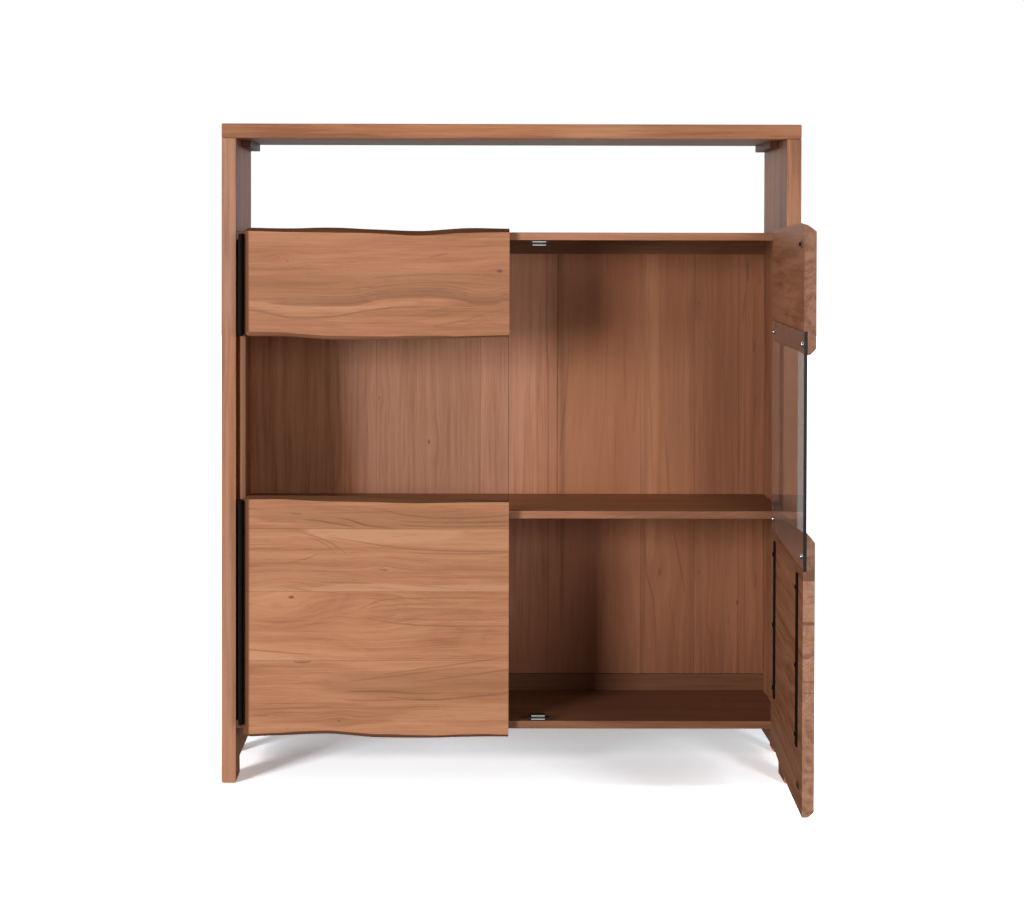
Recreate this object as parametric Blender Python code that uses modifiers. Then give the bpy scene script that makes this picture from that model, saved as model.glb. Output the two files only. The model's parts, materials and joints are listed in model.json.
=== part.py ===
"""Tall two-door display cabinet in solid wood with live-edge door panels.

Metres, +Z up, front towards -Y. The origin is under the middle of the whole
object as it stands here, on the floor, with the left door shut and the right
door open. Inside the script the cabinet is laid out from its own front plane,
y = 0, and hung on one empty that moves it to that origin.
"""
import math

import bmesh
import bpy
from mathutils import Matrix

# Overall frame: two side panels and the top that lies on them
WIDTH = 1.200
HEIGHT = 1.370
DEPTH = 0.310
SIDE_T = 0.030
TOP_T = 0.030
FRONT_FOOT_DEPTH = 0.075
BACK_FOOT_DEPTH = 0.050
BACK_FOOT_T = 0.012
FOOT_HEIGHT = 0.038
CLEAT_WIDTH = 0.020
CLEAT_HEIGHT = 0.014
CLEAT_SETBACK = 0.100

# Cupboard boards, between the side panels
BOARD_T = 0.016
OPEN_BAY_HEIGHT = 0.194
FLOOR_BOARD_TOP_Z = 0.1305
SHELF_RISE = 0.4365
BOARD_SETBACK = 0.001
SHELF_SETBACK = 0.008
BACK_T = 0.010
BACK_INSET = 0.002
RAIL_T = 0.009
TOP_RAIL_HEIGHT = 0.030
BOTTOM_RAIL_HEIGHT = 0.036

# Hinge posts, standing a little off the side panels
POST_T = 0.011
POST_DEPTH = 0.030
POST_GAP = 0.0088

# Doors
DOOR_T = 0.0215
DOOR_STANDOFF = 0.002
DOOR_HALF_GAP = 0.0045
HINGE_EDGE_BEVEL = 0.012
HINGE_EDGE_SQUARE = 0.010
UPPER_PANEL_PROUD = 0.007
UPPER_PANEL_HEIGHT = 0.226
LOWER_PANEL_DROP = 0.0295
LOWER_PANEL_HEIGHT = 0.497
EDGE_CUTS = 23
RIGHT_DOOR_OPEN_DEG = 87.0

# Glass pane, let into the inner faces of both panels of a door
GLASS_T = 0.006
GLASS_UPPER_LAP = 0.040
GLASS_LOWER_LAP = 0.062
GLASS_HINGE_INSET = 0.004
GLASS_FREE_INSET = 0.0005
GLASS_SCREW_INSET = 0.024
SCREW_HEAD_R = 0.0050
SCREW_HEAD_HEIGHT = 0.0030
SCREW_SHANK_R = 0.0020
SCREW_DEPTH_IN_WOOD = 0.009

# Steel bars that keep the lower panel flat
BAR_WIDTH = 0.020
BAR_T = 0.003
BAR_LENGTH = 0.318
BAR_RISE = 0.102
BAR_INSET = 0.080

# Continuous hinges
LEAF_T = 0.0012
BARREL_R = 0.0045
PIN_R = 0.0020
LEAF_SINK = 0.0003
FIXED_LEAF_REACH = 0.021
MOVING_LEAF_END = 0.002
KNUCKLE_GAP = 0.0006
TAB_INSET = 0.0002
UPPER_HINGE_END = 0.004
UPPER_HINGE_LENGTH = 0.211
LOWER_HINGE_END = 0.0255
LOWER_HINGE_LENGTH = 0.4655
UPPER_KNUCKLES = 5
LOWER_KNUCKLES = 9

# Magnetic catches and their strike plates
CATCH_X = 0.058
CATCH_WIDTH = 0.046
CATCH_DEPTH = 0.015
CATCH_HEIGHT = 0.013
CATCH_SETBACK = 0.003
POLE_WIDTH = 0.028
POLE_PAIR_HEIGHT = 0.0086
POLE_T = 0.0018
POLE_LENGTH = 0.0125
POLE_PROUD = 0.002
MAGNET_LENGTH = 0.0045
STRIKE_WIDTH = 0.030
STRIKE_HEIGHT = 0.013
STRIKE_T = 0.0012

# Gaps and easings
FIT_GAP = 0.0003
HOLE_GAP = 0.0004
ARRIS = 0.0015
ROUND_SIDES = 16

# Live edges, in mm, at even steps from the hinge edge to the free edge. "rise"
# is how far the edge of the inner face stands above its nominal height, and
# "bevel" is how far the outer face falls short of the inner one there.
LEFT_UPPER_TOP = {"rise": (-2, 0, 2, -2, -5, 1.5, 0), "bevel": (6, 8, 10, 8.5, 9.5, 10, 7)}
LEFT_UPPER_BOTTOM = {"rise": (3, 3, -3, -3, -2, 0.5, 2.5), "bevel": (10, 8.5, 8, 7.5, 7, 5, 4)}
LEFT_LOWER_TOP = {"rise": (3.5, 3.5, 3, 2, -1.5, -4, -6), "bevel": (7.5, 7.5, 11, 11, 10, 5, 3)}
LEFT_LOWER_BOTTOM = {"rise": (-1, 2.5, 5, -2, -3, -1, 0), "bevel": (5, 8.5, 8, 9.5, 5.5, 6, 5)}
RIGHT_UPPER_TOP = {"rise": (2, 1, 2, 4, 7, 9.5, 6), "bevel": (8, 8, 9, 10, 11, 12, 13)}
RIGHT_UPPER_BOTTOM = {"rise": (-3, -3, -2, -2, -1, 0, -2), "bevel": (9, 9, 10, 10, 11, 12, 12)}
RIGHT_LOWER_TOP = {"rise": (-9, -9, -8, -6, -2, 5, 11), "bevel": (8, 8, 9, 10, 12, 16, 21)}
RIGHT_LOWER_BOTTOM = {"rise": (-1, -4, -8, -11, -12, -10, -8), "bevel": (5, 6, 8, 9, 10, 10, 10)}

# Places worked out from the sizes above
SIDE_INNER_X = WIDTH / 2 - SIDE_T
CABINET_TOP_Z = HEIGHT - TOP_T - OPEN_BAY_HEIGHT
SHELF_TOP_Z = FLOOR_BOARD_TOP_Z + SHELF_RISE
CABINET_TOP_UNDER_Z = CABINET_TOP_Z - BOARD_T
FLOOR_BOARD_UNDER_Z = FLOOR_BOARD_TOP_Z - BOARD_T
BACK_FRONT_Y = DEPTH - BACK_INSET - BACK_T
BOARD_REAR_Y = BACK_FRONT_Y - FIT_GAP
POST_OUTER_X = SIDE_INNER_X - POST_GAP
POST_INNER_X = POST_OUTER_X - POST_T
DOOR_INNER_Y = -DOOR_STANDOFF
DOOR_OUTER_Y = DOOR_INNER_Y - DOOR_T
AXIS_TO_LEAF = BARREL_R - LEAF_SINK - LEAF_T
AXIS_X = POST_OUTER_X + FIT_GAP - AXIS_TO_LEAF
AXIS_Y = DOOR_OUTER_Y
HINGE_EDGE_X = AXIS_X - AXIS_TO_LEAF - LEAF_T - FIT_GAP
DOOR_W = HINGE_EDGE_X - DOOR_HALF_GAP
UPPER_TOP_Z = CABINET_TOP_Z + UPPER_PANEL_PROUD
UPPER_BOTTOM_Z = UPPER_TOP_Z - UPPER_PANEL_HEIGHT
LOWER_BOTTOM_Z = FLOOR_BOARD_TOP_Z - LOWER_PANEL_DROP
LOWER_TOP_Z = LOWER_BOTTOM_Z + LOWER_PANEL_HEIGHT
GLASS_TOP_Z = UPPER_BOTTOM_Z + GLASS_UPPER_LAP
GLASS_BOTTOM_Z = LOWER_TOP_Z - GLASS_LOWER_LAP
BAR_BOTTOM_Z = LOWER_BOTTOM_Z + BAR_RISE
UPPER_HINGE_LOW_Z = UPPER_BOTTOM_Z + UPPER_HINGE_END
LOWER_HINGE_LOW_Z = LOWER_BOTTOM_Z + LOWER_HINGE_END
UPPER_HINGE_Z = (UPPER_HINGE_LOW_Z, UPPER_HINGE_LOW_Z + UPPER_HINGE_LENGTH)
LOWER_HINGE_Z = (LOWER_HINGE_LOW_Z, LOWER_HINGE_LOW_Z + LOWER_HINGE_LENGTH)
BARREL_CLEAR_Y = AXIS_Y + BARREL_R + KNUCKLE_GAP
BORE_R = PIN_R + HOLE_GAP
UPPER_POLE_Z = CABINET_TOP_UNDER_Z - FIT_GAP - CATCH_HEIGHT / 2
LOWER_POLE_Z = FLOOR_BOARD_TOP_Z + FIT_GAP + CATCH_HEIGHT / 2
OPEN_ANGLE = math.radians(RIGHT_DOOR_OPEN_DEG)
FREE_EDGE_Y = AXIS_Y - (AXIS_X - DOOR_HALF_GAP) * math.sin(OPEN_ANGLE)
FRAME_Y = -(FREE_EDGE_Y + DEPTH) / 2
MM = 0.001

for old in list(bpy.data.objects):
    bpy.data.objects.remove(old, do_unlink=True)

parts = bpy.data.collections.new("live_edge_cabinet")
cutters = bpy.data.collections.new("cutters")
bpy.context.scene.collection.children.link(parts)
bpy.context.scene.collection.children.link(cutters)


def make_material(name, color, roughness, metallic=0.0, transmission=0.0):
    material = bpy.data.materials.new(name)
    material.use_nodes = True
    shader = material.node_tree.nodes["Principled BSDF"]
    shader.inputs["Base Color"].default_value = (*color, 1.0)
    shader.inputs["Roughness"].default_value = roughness
    shader.inputs["Metallic"].default_value = metallic
    shader.inputs["Transmission Weight"].default_value = transmission
    return material


WOOD = make_material("oiled_wood", (0.36, 0.19, 0.10), 0.5)
DOOR_WOOD = make_material("door_wood", (0.42, 0.21, 0.11), 0.5)
BACK_WOOD = make_material("back_wood", (0.25, 0.13, 0.07), 0.55)
GLASS = make_material("clear_glass", (0.86, 0.90, 0.89), 0.03, 0.0, 1.0)
BLACK_STEEL = make_material("black_steel", (0.02, 0.018, 0.017), 0.45, 0.6)
BRIGHT_STEEL = make_material("bright_steel", (0.72, 0.72, 0.72), 0.25, 1.0)
DARK_PLASTIC = make_material("dark_plastic", (0.09, 0.06, 0.045), 0.5)


def make_empty(name, location, parent=None):
    empty = bpy.data.objects.new(name, None)
    empty.location = location
    empty.parent = parent
    parts.objects.link(empty)
    return empty


cabinet = make_empty("cabinet", (0.0, FRAME_Y, 0.0))


class Hang:
    """What a piece hangs on: an empty, and its place in the cabinet's layout."""

    def __init__(self, empty, place):
        self.empty = empty
        self.to_local = Matrix.Translation(place).inverted()


FIXED = Hang(cabinet, (0.0, 0.0, 0.0))


def box_mesh(name, low, high):
    size = [high[i] - low[i] for i in range(3)]
    middle = [(high[i] + low[i]) / 2 for i in range(3)]
    mesh = bpy.data.meshes.new(name)
    bm = bmesh.new()
    place = Matrix.Translation(middle) @ Matrix.Diagonal((*size, 1.0))
    bmesh.ops.create_cube(bm, size=1.0, matrix=place)
    bm.to_mesh(mesh)
    bm.free()
    return mesh


def cylinder_mesh(name, low, high, radius, sides=ROUND_SIDES):
    """A round bar between two points on one line along X, Y or Z."""
    axis = [high[i] - low[i] for i in range(3)]
    length = math.sqrt(sum(a * a for a in axis))
    middle = [(high[i] + low[i]) / 2 for i in range(3)]
    turn = Matrix.Identity(4)
    if abs(axis[0]) > 0:
        turn = Matrix.Rotation(math.pi / 2, 4, "Y")
    if abs(axis[1]) > 0:
        turn = Matrix.Rotation(math.pi / 2, 4, "X")
    mesh = bpy.data.meshes.new(name)
    bm = bmesh.new()
    bmesh.ops.create_cone(
        bm, cap_ends=True, segments=sides, radius1=radius, radius2=radius, depth=length,
        matrix=Matrix.Translation(middle) @ turn)
    bm.to_mesh(mesh)
    bm.free()
    return mesh


def outline_mesh(name, points, thickness, place):
    """A flat outline, drawn in a curve's own XY, given its thickness and its place."""
    curve = bpy.data.curves.new(name, "CURVE")
    curve.dimensions = "2D"
    curve.fill_mode = "BOTH"
    curve.extrude = thickness / 2
    spline = curve.splines.new("POLY")
    spline.points.add(len(points) - 1)
    for spline_point, (u, v) in zip(spline.points, points):
        spline_point.co = (u, v, 0.0, 1.0)
    spline.use_cyclic_u = True
    holder = bpy.data.objects.new(name, curve)
    parts.objects.link(holder)
    bpy.context.view_layer.update()
    evaluated = holder.evaluated_get(bpy.context.evaluated_depsgraph_get())
    mesh = bpy.data.meshes.new_from_object(evaluated)
    bpy.data.objects.remove(holder, do_unlink=True)
    bm = bmesh.new()
    bm.from_mesh(mesh)
    bmesh.ops.remove_doubles(bm, verts=bm.verts, dist=1e-6)
    bmesh.ops.transform(bm, matrix=place, verts=bm.verts)
    bmesh.ops.recalc_face_normals(bm, faces=bm.faces)
    bm.to_mesh(mesh)
    bm.free()
    return mesh


def add_part(name, mesh, material, hang=FIXED, arris=0.0):
    mesh.transform(hang.to_local)
    mesh.materials.clear()
    mesh.materials.append(material)
    piece = bpy.data.objects.new(name, mesh)
    piece.parent = hang.empty
    parts.objects.link(piece)
    if arris > 0:
        ease_edges(piece, arris)
    return piece


def ease_edges(piece, width):
    bevel = piece.modifiers.new("arris", "BEVEL")
    bevel.width = width
    bevel.segments = 1
    bevel.limit_method = "ANGLE"
    bevel.angle_limit = math.radians(40)
    return bevel


def combine(piece, mesh, operation, hang=FIXED):
    """Cut a mesh out of a piece, or join it on."""
    mesh.transform(hang.to_local)
    tool = bpy.data.objects.new(piece.name + "_tool", mesh)
    tool.parent = hang.empty
    tool.hide_render = True
    tool.display_type = "WIRE"
    cutters.objects.link(tool)
    boolean = piece.modifiers.new(operation.lower(), "BOOLEAN")
    boolean.operation = operation
    boolean.object = tool
    return tool


def mirrored(side, low, high):
    """A box laid out on the right, put on the side given by +1 or -1."""
    x0, x1 = sorted((side * low[0], side * high[0]))
    return (x0, low[1], low[2]), (x1, high[1], high[2])


SIDES = (("left", -1), ("right", 1))


def build_frame():
    """Side panels with a foot at each end, the top and the two corner cleats.

    The back foot is the outer layer of the side alone: its inner part is cut away.
    """
    side_top = HEIGHT - TOP_T - FIT_GAP
    for word, side in SIDES:
        low, high = mirrored(side, (SIDE_INNER_X, 0.0, 0.0), (WIDTH / 2, DEPTH, side_top))
        panel = add_part("side_" + word, box_mesh("side_" + word, low, high), WOOD)
        low, high = mirrored(
            side,
            (SIDE_INNER_X - SIDE_T, FRONT_FOOT_DEPTH, -FOOT_HEIGHT),
            (WIDTH / 2 + SIDE_T, DEPTH - BACK_FOOT_DEPTH, FOOT_HEIGHT))
        combine(panel, box_mesh("foot_space", low, high), "DIFFERENCE")
        low, high = mirrored(
            side,
            (SIDE_INNER_X - SIDE_T, DEPTH / 2, -FOOT_HEIGHT),
            (WIDTH / 2 - BACK_FOOT_T, DEPTH + SIDE_T, FOOT_HEIGHT))
        combine(panel, box_mesh("back_foot_notch", low, high), "DIFFERENCE")
        ease_edges(panel, ARRIS)
        cleat_top = HEIGHT - TOP_T - FIT_GAP
        low, high = mirrored(
            side,
            (SIDE_INNER_X - FIT_GAP - CLEAT_WIDTH, CLEAT_SETBACK, cleat_top - CLEAT_HEIGHT),
            (SIDE_INNER_X - FIT_GAP, DEPTH - BACK_INSET, cleat_top))
        add_part("cleat_" + word, box_mesh("cleat_" + word, low, high), WOOD)
    top = box_mesh("top_board", (-WIDTH / 2, 0.0, HEIGHT - TOP_T), (WIDTH / 2, DEPTH, HEIGHT))
    add_part("top_board", top, WOOD, arris=ARRIS)


def build_cupboard():
    """The three boards, the back with its two rails, and the hinge posts."""
    half = SIDE_INNER_X - FIT_GAP
    boards = (("cabinet_top", CABINET_TOP_Z), ("floor_board", FLOOR_BOARD_TOP_Z))
    for name, top_z in boards:
        low = (-half, BOARD_SETBACK, top_z - BOARD_T)
        add_part(name, box_mesh(name, low, (half, BOARD_REAR_Y, top_z)), WOOD)
    notch_x = POST_INNER_X - FIT_GAP
    notch_y = BOARD_SETBACK + POST_DEPTH + FIT_GAP
    outline = [
        (-notch_x, SHELF_SETBACK), (notch_x, SHELF_SETBACK), (notch_x, notch_y), (half, notch_y),
        (half, BOARD_REAR_Y), (-half, BOARD_REAR_Y), (-half, notch_y), (-notch_x, notch_y)]
    shelf_place = Matrix.Translation((0.0, 0.0, SHELF_TOP_Z - BOARD_T / 2))
    add_part("middle_shelf", outline_mesh("middle_shelf", outline, BOARD_T, shelf_place), WOOD)
    back = box_mesh(
        "back_panel",
        (-half, BACK_FRONT_Y, FLOOR_BOARD_UNDER_Z),
        (half, BACK_FRONT_Y + BACK_T, CABINET_TOP_Z))
    add_part("back_panel", back, BACK_WOOD)
    rail_low_y = BOARD_REAR_Y - RAIL_T
    top_z = CABINET_TOP_UNDER_Z - FIT_GAP
    low = (-half, rail_low_y, top_z - TOP_RAIL_HEIGHT)
    rail = box_mesh("back_rail_top", low, (half, BOARD_REAR_Y, top_z))
    add_part("back_rail_top", rail, BACK_WOOD)
    low_z = FLOOR_BOARD_TOP_Z + FIT_GAP
    high_z = low_z + BOTTOM_RAIL_HEIGHT
    rail = box_mesh("back_rail_bottom", (-half, rail_low_y, low_z), (half, BOARD_REAR_Y, high_z))
    add_part("back_rail_bottom", rail, BACK_WOOD)
    for word, side in SIDES:
        low, high = mirrored(
            side,
            (POST_INNER_X, BOARD_SETBACK, FLOOR_BOARD_TOP_Z + FIT_GAP),
            (POST_OUTER_X, BOARD_SETBACK + POST_DEPTH, CABINET_TOP_UNDER_Z - FIT_GAP))
        add_part("hinge_post_" + word, box_mesh("hinge_post_" + word, low, high), WOOD)


def build_catches():
    """Magnetic catches: a moulded case, and a magnet between two steel pole plates."""
    for word, side in SIDES:
        for level, pole_z in (("upper", UPPER_POLE_Z), ("lower", LOWER_POLE_Z)):
            name = f"catch_{level}_{word}"
            half_case = CATCH_WIDTH / 2
            low = (side * CATCH_X - half_case, CATCH_SETBACK, pole_z - CATCH_HEIGHT / 2)
            high = (side * CATCH_X + half_case, CATCH_SETBACK + CATCH_DEPTH, pole_z + CATCH_HEIGHT / 2)
            case = add_part(name, box_mesh(name, low, high), DARK_PLASTIC)
            front = CATCH_SETBACK - POLE_PROUD
            rear = front + POLE_LENGTH
            half_w = POLE_WIDTH / 2
            half_h = POLE_PAIR_HEIGHT / 2
            slot = box_mesh(
                "slot",
                (side * CATCH_X - half_w - FIT_GAP, front - POLE_PROUD, pole_z - half_h - FIT_GAP),
                (side * CATCH_X + half_w + FIT_GAP, rear + FIT_GAP, pole_z + half_h + FIT_GAP))
            combine(case, slot, "DIFFERENCE")
            inner = half_h - POLE_T
            outline = [
                (front, -half_h), (rear, -half_h), (rear, half_h), (front, half_h), (front, inner),
                (rear - MAGNET_LENGTH, inner), (rear - MAGNET_LENGTH, -inner), (front, -inner)]
            turn = Matrix(((0, 0, 1, side * CATCH_X), (1, 0, 0, 0), (0, 1, 0, pole_z), (0, 0, 0, 1)))
            poles = outline_mesh(name + "_poles", outline, POLE_WIDTH, turn)
            add_part(name + "_poles", poles, BRIGHT_STEEL)


def along(values, fraction):
    """A smooth curve through evenly spaced values, read at a fraction from 0 to 1."""
    last = len(values) - 1
    place = min(fraction * last, last - 1e-9)
    i = int(place)
    t = place - i
    p0, p1 = values[max(i - 1, 0)], values[i]
    p2, p3 = values[i + 1], values[min(i + 2, last)]
    a = 2 * p1 + (p2 - p0) * t
    b = (2 * p0 - 5 * p1 + 4 * p2 - p3) * t * t
    c = (3 * p1 - p0 - 3 * p2 + p3) * t * t * t
    return (a + b + c) / 2


def live_edge_mesh(name, side, top_z, top_edge, bottom_z, bottom_edge):
    """A panel whose top and bottom edges wander and slant back from the outer face.

    A cube is cut into steps along the door and in two across its thickness, and
    each of its corners is then moved to the edge that it belongs to.
    """
    bm = bmesh.new()
    bmesh.ops.create_cube(bm, size=1.0)
    bmesh.ops.translate(bm, verts=bm.verts, vec=(0.5, 0.5, 0.5))
    lengthwise = [e for e in bm.edges if abs(e.verts[0].co.x - e.verts[1].co.x) > 0.5]
    bmesh.ops.subdivide_edges(bm, edges=lengthwise, cuts=EDGE_CUTS, use_grid_fill=True)
    across = [e for e in bm.edges if abs(e.verts[0].co.y - e.verts[1].co.y) > 0.5]
    bmesh.ops.subdivide_edges(bm, edges=across, cuts=1, use_grid_fill=True)
    square_share = HINGE_EDGE_SQUARE / DOOR_T
    for vert in bm.verts:
        step, layer, is_top = vert.co
        share = (0.0, square_share, 1.0)[round(layer * 2)]
        slant = share * share * (3 - share) / 2
        edge, nominal, sign = (top_edge, top_z, -1) if is_top > 0.5 else (bottom_edge, bottom_z, 1)
        z = nominal + along(edge["rise"], step) * MM + sign * slant * along(edge["bevel"], step) * MM
        from_hinge = step * DOOR_W
        if step < 1e-6 and layer > 0.75:
            from_hinge = HINGE_EDGE_BEVEL
        vert.co = (side * (HINGE_EDGE_X - from_hinge), DOOR_INNER_Y - share * DOOR_T, z)
    bmesh.ops.recalc_face_normals(bm, faces=bm.faces)
    mesh = bpy.data.meshes.new(name)
    bm.to_mesh(mesh)
    bm.free()
    return mesh


def screw_mesh(name, x, z):
    """A domed screw through the glass, as a turned profile about its own axis."""
    neck_y = DOOR_INNER_Y + FIT_GAP
    tip_y = DOOR_INNER_Y - GLASS_T - SCREW_DEPTH_IN_WOOD
    profile = [
        (0.0, SCREW_HEAD_HEIGHT), (SCREW_HEAD_R * 0.6, SCREW_HEAD_HEIGHT * 0.82),
        (SCREW_HEAD_R, SCREW_HEAD_HEIGHT * 0.25), (SCREW_HEAD_R, 0.0), (SCREW_SHANK_R, 0.0),
        (SCREW_SHANK_R, tip_y - neck_y + SCREW_SHANK_R), (0.0, tip_y - neck_y)]
    bm = bmesh.new()
    verts = [bm.verts.new((r, 0.0, h)) for r, h in profile]
    edges = [bm.edges.new(pair) for pair in zip(verts, verts[1:])]
    bmesh.ops.spin(
        bm, geom=verts + edges, axis=(0, 0, 1), cent=(0, 0, 0), angle=2 * math.pi,
        steps=ROUND_SIDES, use_merge=True)
    bmesh.ops.remove_doubles(bm, verts=bm.verts, dist=1e-6)
    bmesh.ops.recalc_face_normals(bm, faces=bm.faces)
    stand = Matrix.Translation((x, neck_y, z)) @ Matrix.Rotation(-math.pi / 2, 4, "X")
    bmesh.ops.transform(bm, matrix=stand, verts=bm.verts)
    mesh = bpy.data.meshes.new(name)
    bm.to_mesh(mesh)
    bm.free()
    return mesh


def build_door(word, side, hang, edges):
    """Two live-edge panels, the glass between them, its screws, bars and strikes."""
    upper = add_part(
        f"door_{word}_upper_panel",
        live_edge_mesh("upper", side, UPPER_TOP_Z, edges[0], UPPER_BOTTOM_Z, edges[1]), DOOR_WOOD, hang)
    lower = add_part(
        f"door_{word}_lower_panel",
        live_edge_mesh("lower", side, LOWER_TOP_Z, edges[2], LOWER_BOTTOM_Z, edges[3]), DOOR_WOOD, hang)

    hinge_x = HINGE_EDGE_X - GLASS_HINGE_INSET
    free_x = DOOR_HALF_GAP + GLASS_FREE_INSET
    rebate_y = DOOR_INNER_Y - GLASS_T - FIT_GAP
    middle_z = (GLASS_TOP_Z + GLASS_BOTTOM_Z) / 2
    spans = ((upper, middle_z, GLASS_TOP_Z + FIT_GAP), (lower, GLASS_BOTTOM_Z - FIT_GAP, middle_z))
    for panel, low_z, high_z in spans:
        low, high = mirrored(
            side,
            (DOOR_HALF_GAP - DOOR_T, rebate_y, low_z),
            (HINGE_EDGE_X + DOOR_T, DOOR_INNER_Y + DOOR_T, high_z))
        combine(panel, box_mesh("rebate", low, high), "DIFFERENCE", hang)
    low, high = mirrored(
        side, (free_x, DOOR_INNER_Y - GLASS_T, GLASS_BOTTOM_Z), (hinge_x, DOOR_INNER_Y, GLASS_TOP_Z))
    glass = add_part(f"door_{word}_glass", box_mesh("glass", low, high), GLASS, hang)

    screw_xs = (("hinge", hinge_x - GLASS_SCREW_INSET), ("free", free_x + GLASS_SCREW_INSET))
    screw_zs = (
        ("top", GLASS_TOP_Z - GLASS_SCREW_INSET, upper),
        ("bottom", GLASS_BOTTOM_Z + GLASS_SCREW_INSET, lower))
    for level, z, panel in screw_zs:
        for end, x in screw_xs:
            name = f"door_{word}_glass_screw_{level}_{end}"
            add_part(name, screw_mesh(name, side * x, z), BRIGHT_STEEL, hang)
            hole_end_y = DOOR_INNER_Y - GLASS_T - SCREW_DEPTH_IN_WOOD - HOLE_GAP
            for cut_piece in (glass, panel):
                hole = cylinder_mesh(
                    "hole", (side * x, hole_end_y, z), (side * x, DOOR_INNER_Y + DOOR_T, z),
                    SCREW_SHANK_R + HOLE_GAP)
                combine(cut_piece, hole, "DIFFERENCE", hang)

    bar_y = DOOR_INNER_Y + FIT_GAP
    for end, x in (("hinge", HINGE_EDGE_X - BAR_INSET), ("free", DOOR_HALF_GAP + BAR_INSET)):
        name = f"door_{word}_bar_{end}"
        low, high = mirrored(
            side,
            (x - BAR_WIDTH / 2, bar_y, BAR_BOTTOM_Z),
            (x + BAR_WIDTH / 2, bar_y + BAR_T, BAR_BOTTOM_Z + BAR_LENGTH))
        add_part(name, box_mesh(name, low, high), BLACK_STEEL, hang, ARRIS)

    for level, z in (("upper", UPPER_POLE_Z), ("lower", LOWER_POLE_Z)):
        name = f"door_{word}_strike_{level}"
        low, high = mirrored(
            side,
            (CATCH_X - STRIKE_WIDTH / 2, bar_y, z - STRIKE_HEIGHT / 2),
            (CATCH_X + STRIKE_WIDTH / 2, bar_y + STRIKE_T, z + STRIKE_HEIGHT / 2))
        add_part(name, box_mesh(name, low, high), BLACK_STEEL, hang)


def knuckle_spans(span, count, first):
    """The stretches of a hinge that one leaf's barrels fill, every second one."""
    pitch = (span[1] - span[0]) / count
    spans = []
    for i in range(first, count, 2):
        spans.append((span[0] + i * pitch + KNUCKLE_GAP / 2, span[0] + (i + 1) * pitch - KNUCKLE_GAP / 2))
    return spans


def comb_outline(spans, axis_y, clear_y, far_y, span, far_span):
    """A leaf seen flat: tabs towards the axis, and a far side that may be shorter."""
    step_y = BOARD_SETBACK - DOOR_STANDOFF / 2
    points = [(clear_y, span[0])]
    for low_z, high_z in spans:
        low_tab, high_tab = low_z + TAB_INSET, high_z - TAB_INSET
        points += [(clear_y, low_tab), (axis_y, low_tab), (axis_y, high_tab), (clear_y, high_tab)]
    points.append((clear_y, span[1]))
    if far_span[1] < span[1]:
        points += [(step_y, span[1]), (step_y, far_span[1])]
    points += [(far_y, far_span[1]), (far_y, far_span[0])]
    if far_span[0] > span[0]:
        points += [(step_y, far_span[0]), (step_y, span[0])]
    return points


def build_leaf(name, side, leaf_x, outline, spans, span, hang):
    """A flat leaf with its rolled barrels, bored for the pin."""
    turn = Matrix(((0, 0, 1, side * leaf_x), (1, 0, 0, 0), (0, 1, 0, 0), (0, 0, 0, 1)))
    leaf = add_part(name, outline_mesh(name, outline, LEAF_T, turn), BLACK_STEEL, hang)
    rolls = bmesh.new()
    for low_z, high_z in spans:
        ends = (side * AXIS_X, AXIS_Y, low_z), (side * AXIS_X, AXIS_Y, high_z)
        roll = cylinder_mesh("roll", *ends, BARREL_R)
        rolls.from_mesh(roll)
        bpy.data.meshes.remove(roll)
    rolls_mesh = bpy.data.meshes.new("rolls")
    rolls.to_mesh(rolls_mesh)
    rolls.free()
    combine(leaf, rolls_mesh, "UNION", hang)
    ends = (side * AXIS_X, AXIS_Y, span[0] - BARREL_R), (side * AXIS_X, AXIS_Y, span[1] + BARREL_R)
    combine(leaf, cylinder_mesh("bore", *ends, BORE_R), "DIFFERENCE", hang)


def build_hinge(word, side, level, span, count, door_hang):
    """A continuous hinge: one leaf on the post, one on the door's edge, and the pin."""
    name = f"hinge_{word}_{level}"
    fixed_x = AXIS_X + AXIS_TO_LEAF + LEAF_T / 2
    post_span = (
        max(span[0], FLOOR_BOARD_TOP_Z + 2 * FIT_GAP), min(span[1], CABINET_TOP_UNDER_Z - 2 * FIT_GAP))
    spans = knuckle_spans(span, count, 0)
    outline = comb_outline(
        spans, AXIS_Y, BARREL_CLEAR_Y, BOARD_SETBACK + FIXED_LEAF_REACH, span, post_span)
    build_leaf(name + "_fixed_leaf", side, fixed_x, outline, spans, span, FIXED)
    moving_x = AXIS_X - AXIS_TO_LEAF - LEAF_T / 2
    spans = knuckle_spans(span, count, 1)
    outline = comb_outline(spans, AXIS_Y, BARREL_CLEAR_Y, DOOR_INNER_Y - MOVING_LEAF_END, span, span)
    build_leaf(name + "_moving_leaf", side, moving_x, outline, spans, span, door_hang)
    ends = (side * AXIS_X, AXIS_Y, span[0]), (side * AXIS_X, AXIS_Y, span[1])
    add_part(name + "_pin", cylinder_mesh(name + "_pin", *ends, PIN_R), BLACK_STEEL)


build_frame()
build_cupboard()
build_catches()

DOORS = (
    ("left", -1, 0.0, (LEFT_UPPER_TOP, LEFT_UPPER_BOTTOM, LEFT_LOWER_TOP, LEFT_LOWER_BOTTOM)),
    ("right", 1, OPEN_ANGLE, (RIGHT_UPPER_TOP, RIGHT_UPPER_BOTTOM, RIGHT_LOWER_TOP, RIGHT_LOWER_BOTTOM)))
for word, side, angle, edges in DOORS:
    place = (side * AXIS_X, AXIS_Y, 0.0)
    axis = make_empty("hinge_axis_" + word, place, cabinet)
    axis.rotation_euler = (0.0, 0.0, side * angle)
    door_hang = Hang(axis, place)
    build_door(word, side, door_hang, edges)
    build_hinge(word, side, "upper", UPPER_HINGE_Z, UPPER_KNUCKLES, door_hang)
    build_hinge(word, side, "lower", LOWER_HINGE_Z, LOWER_KNUCKLES, door_hang)
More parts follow.
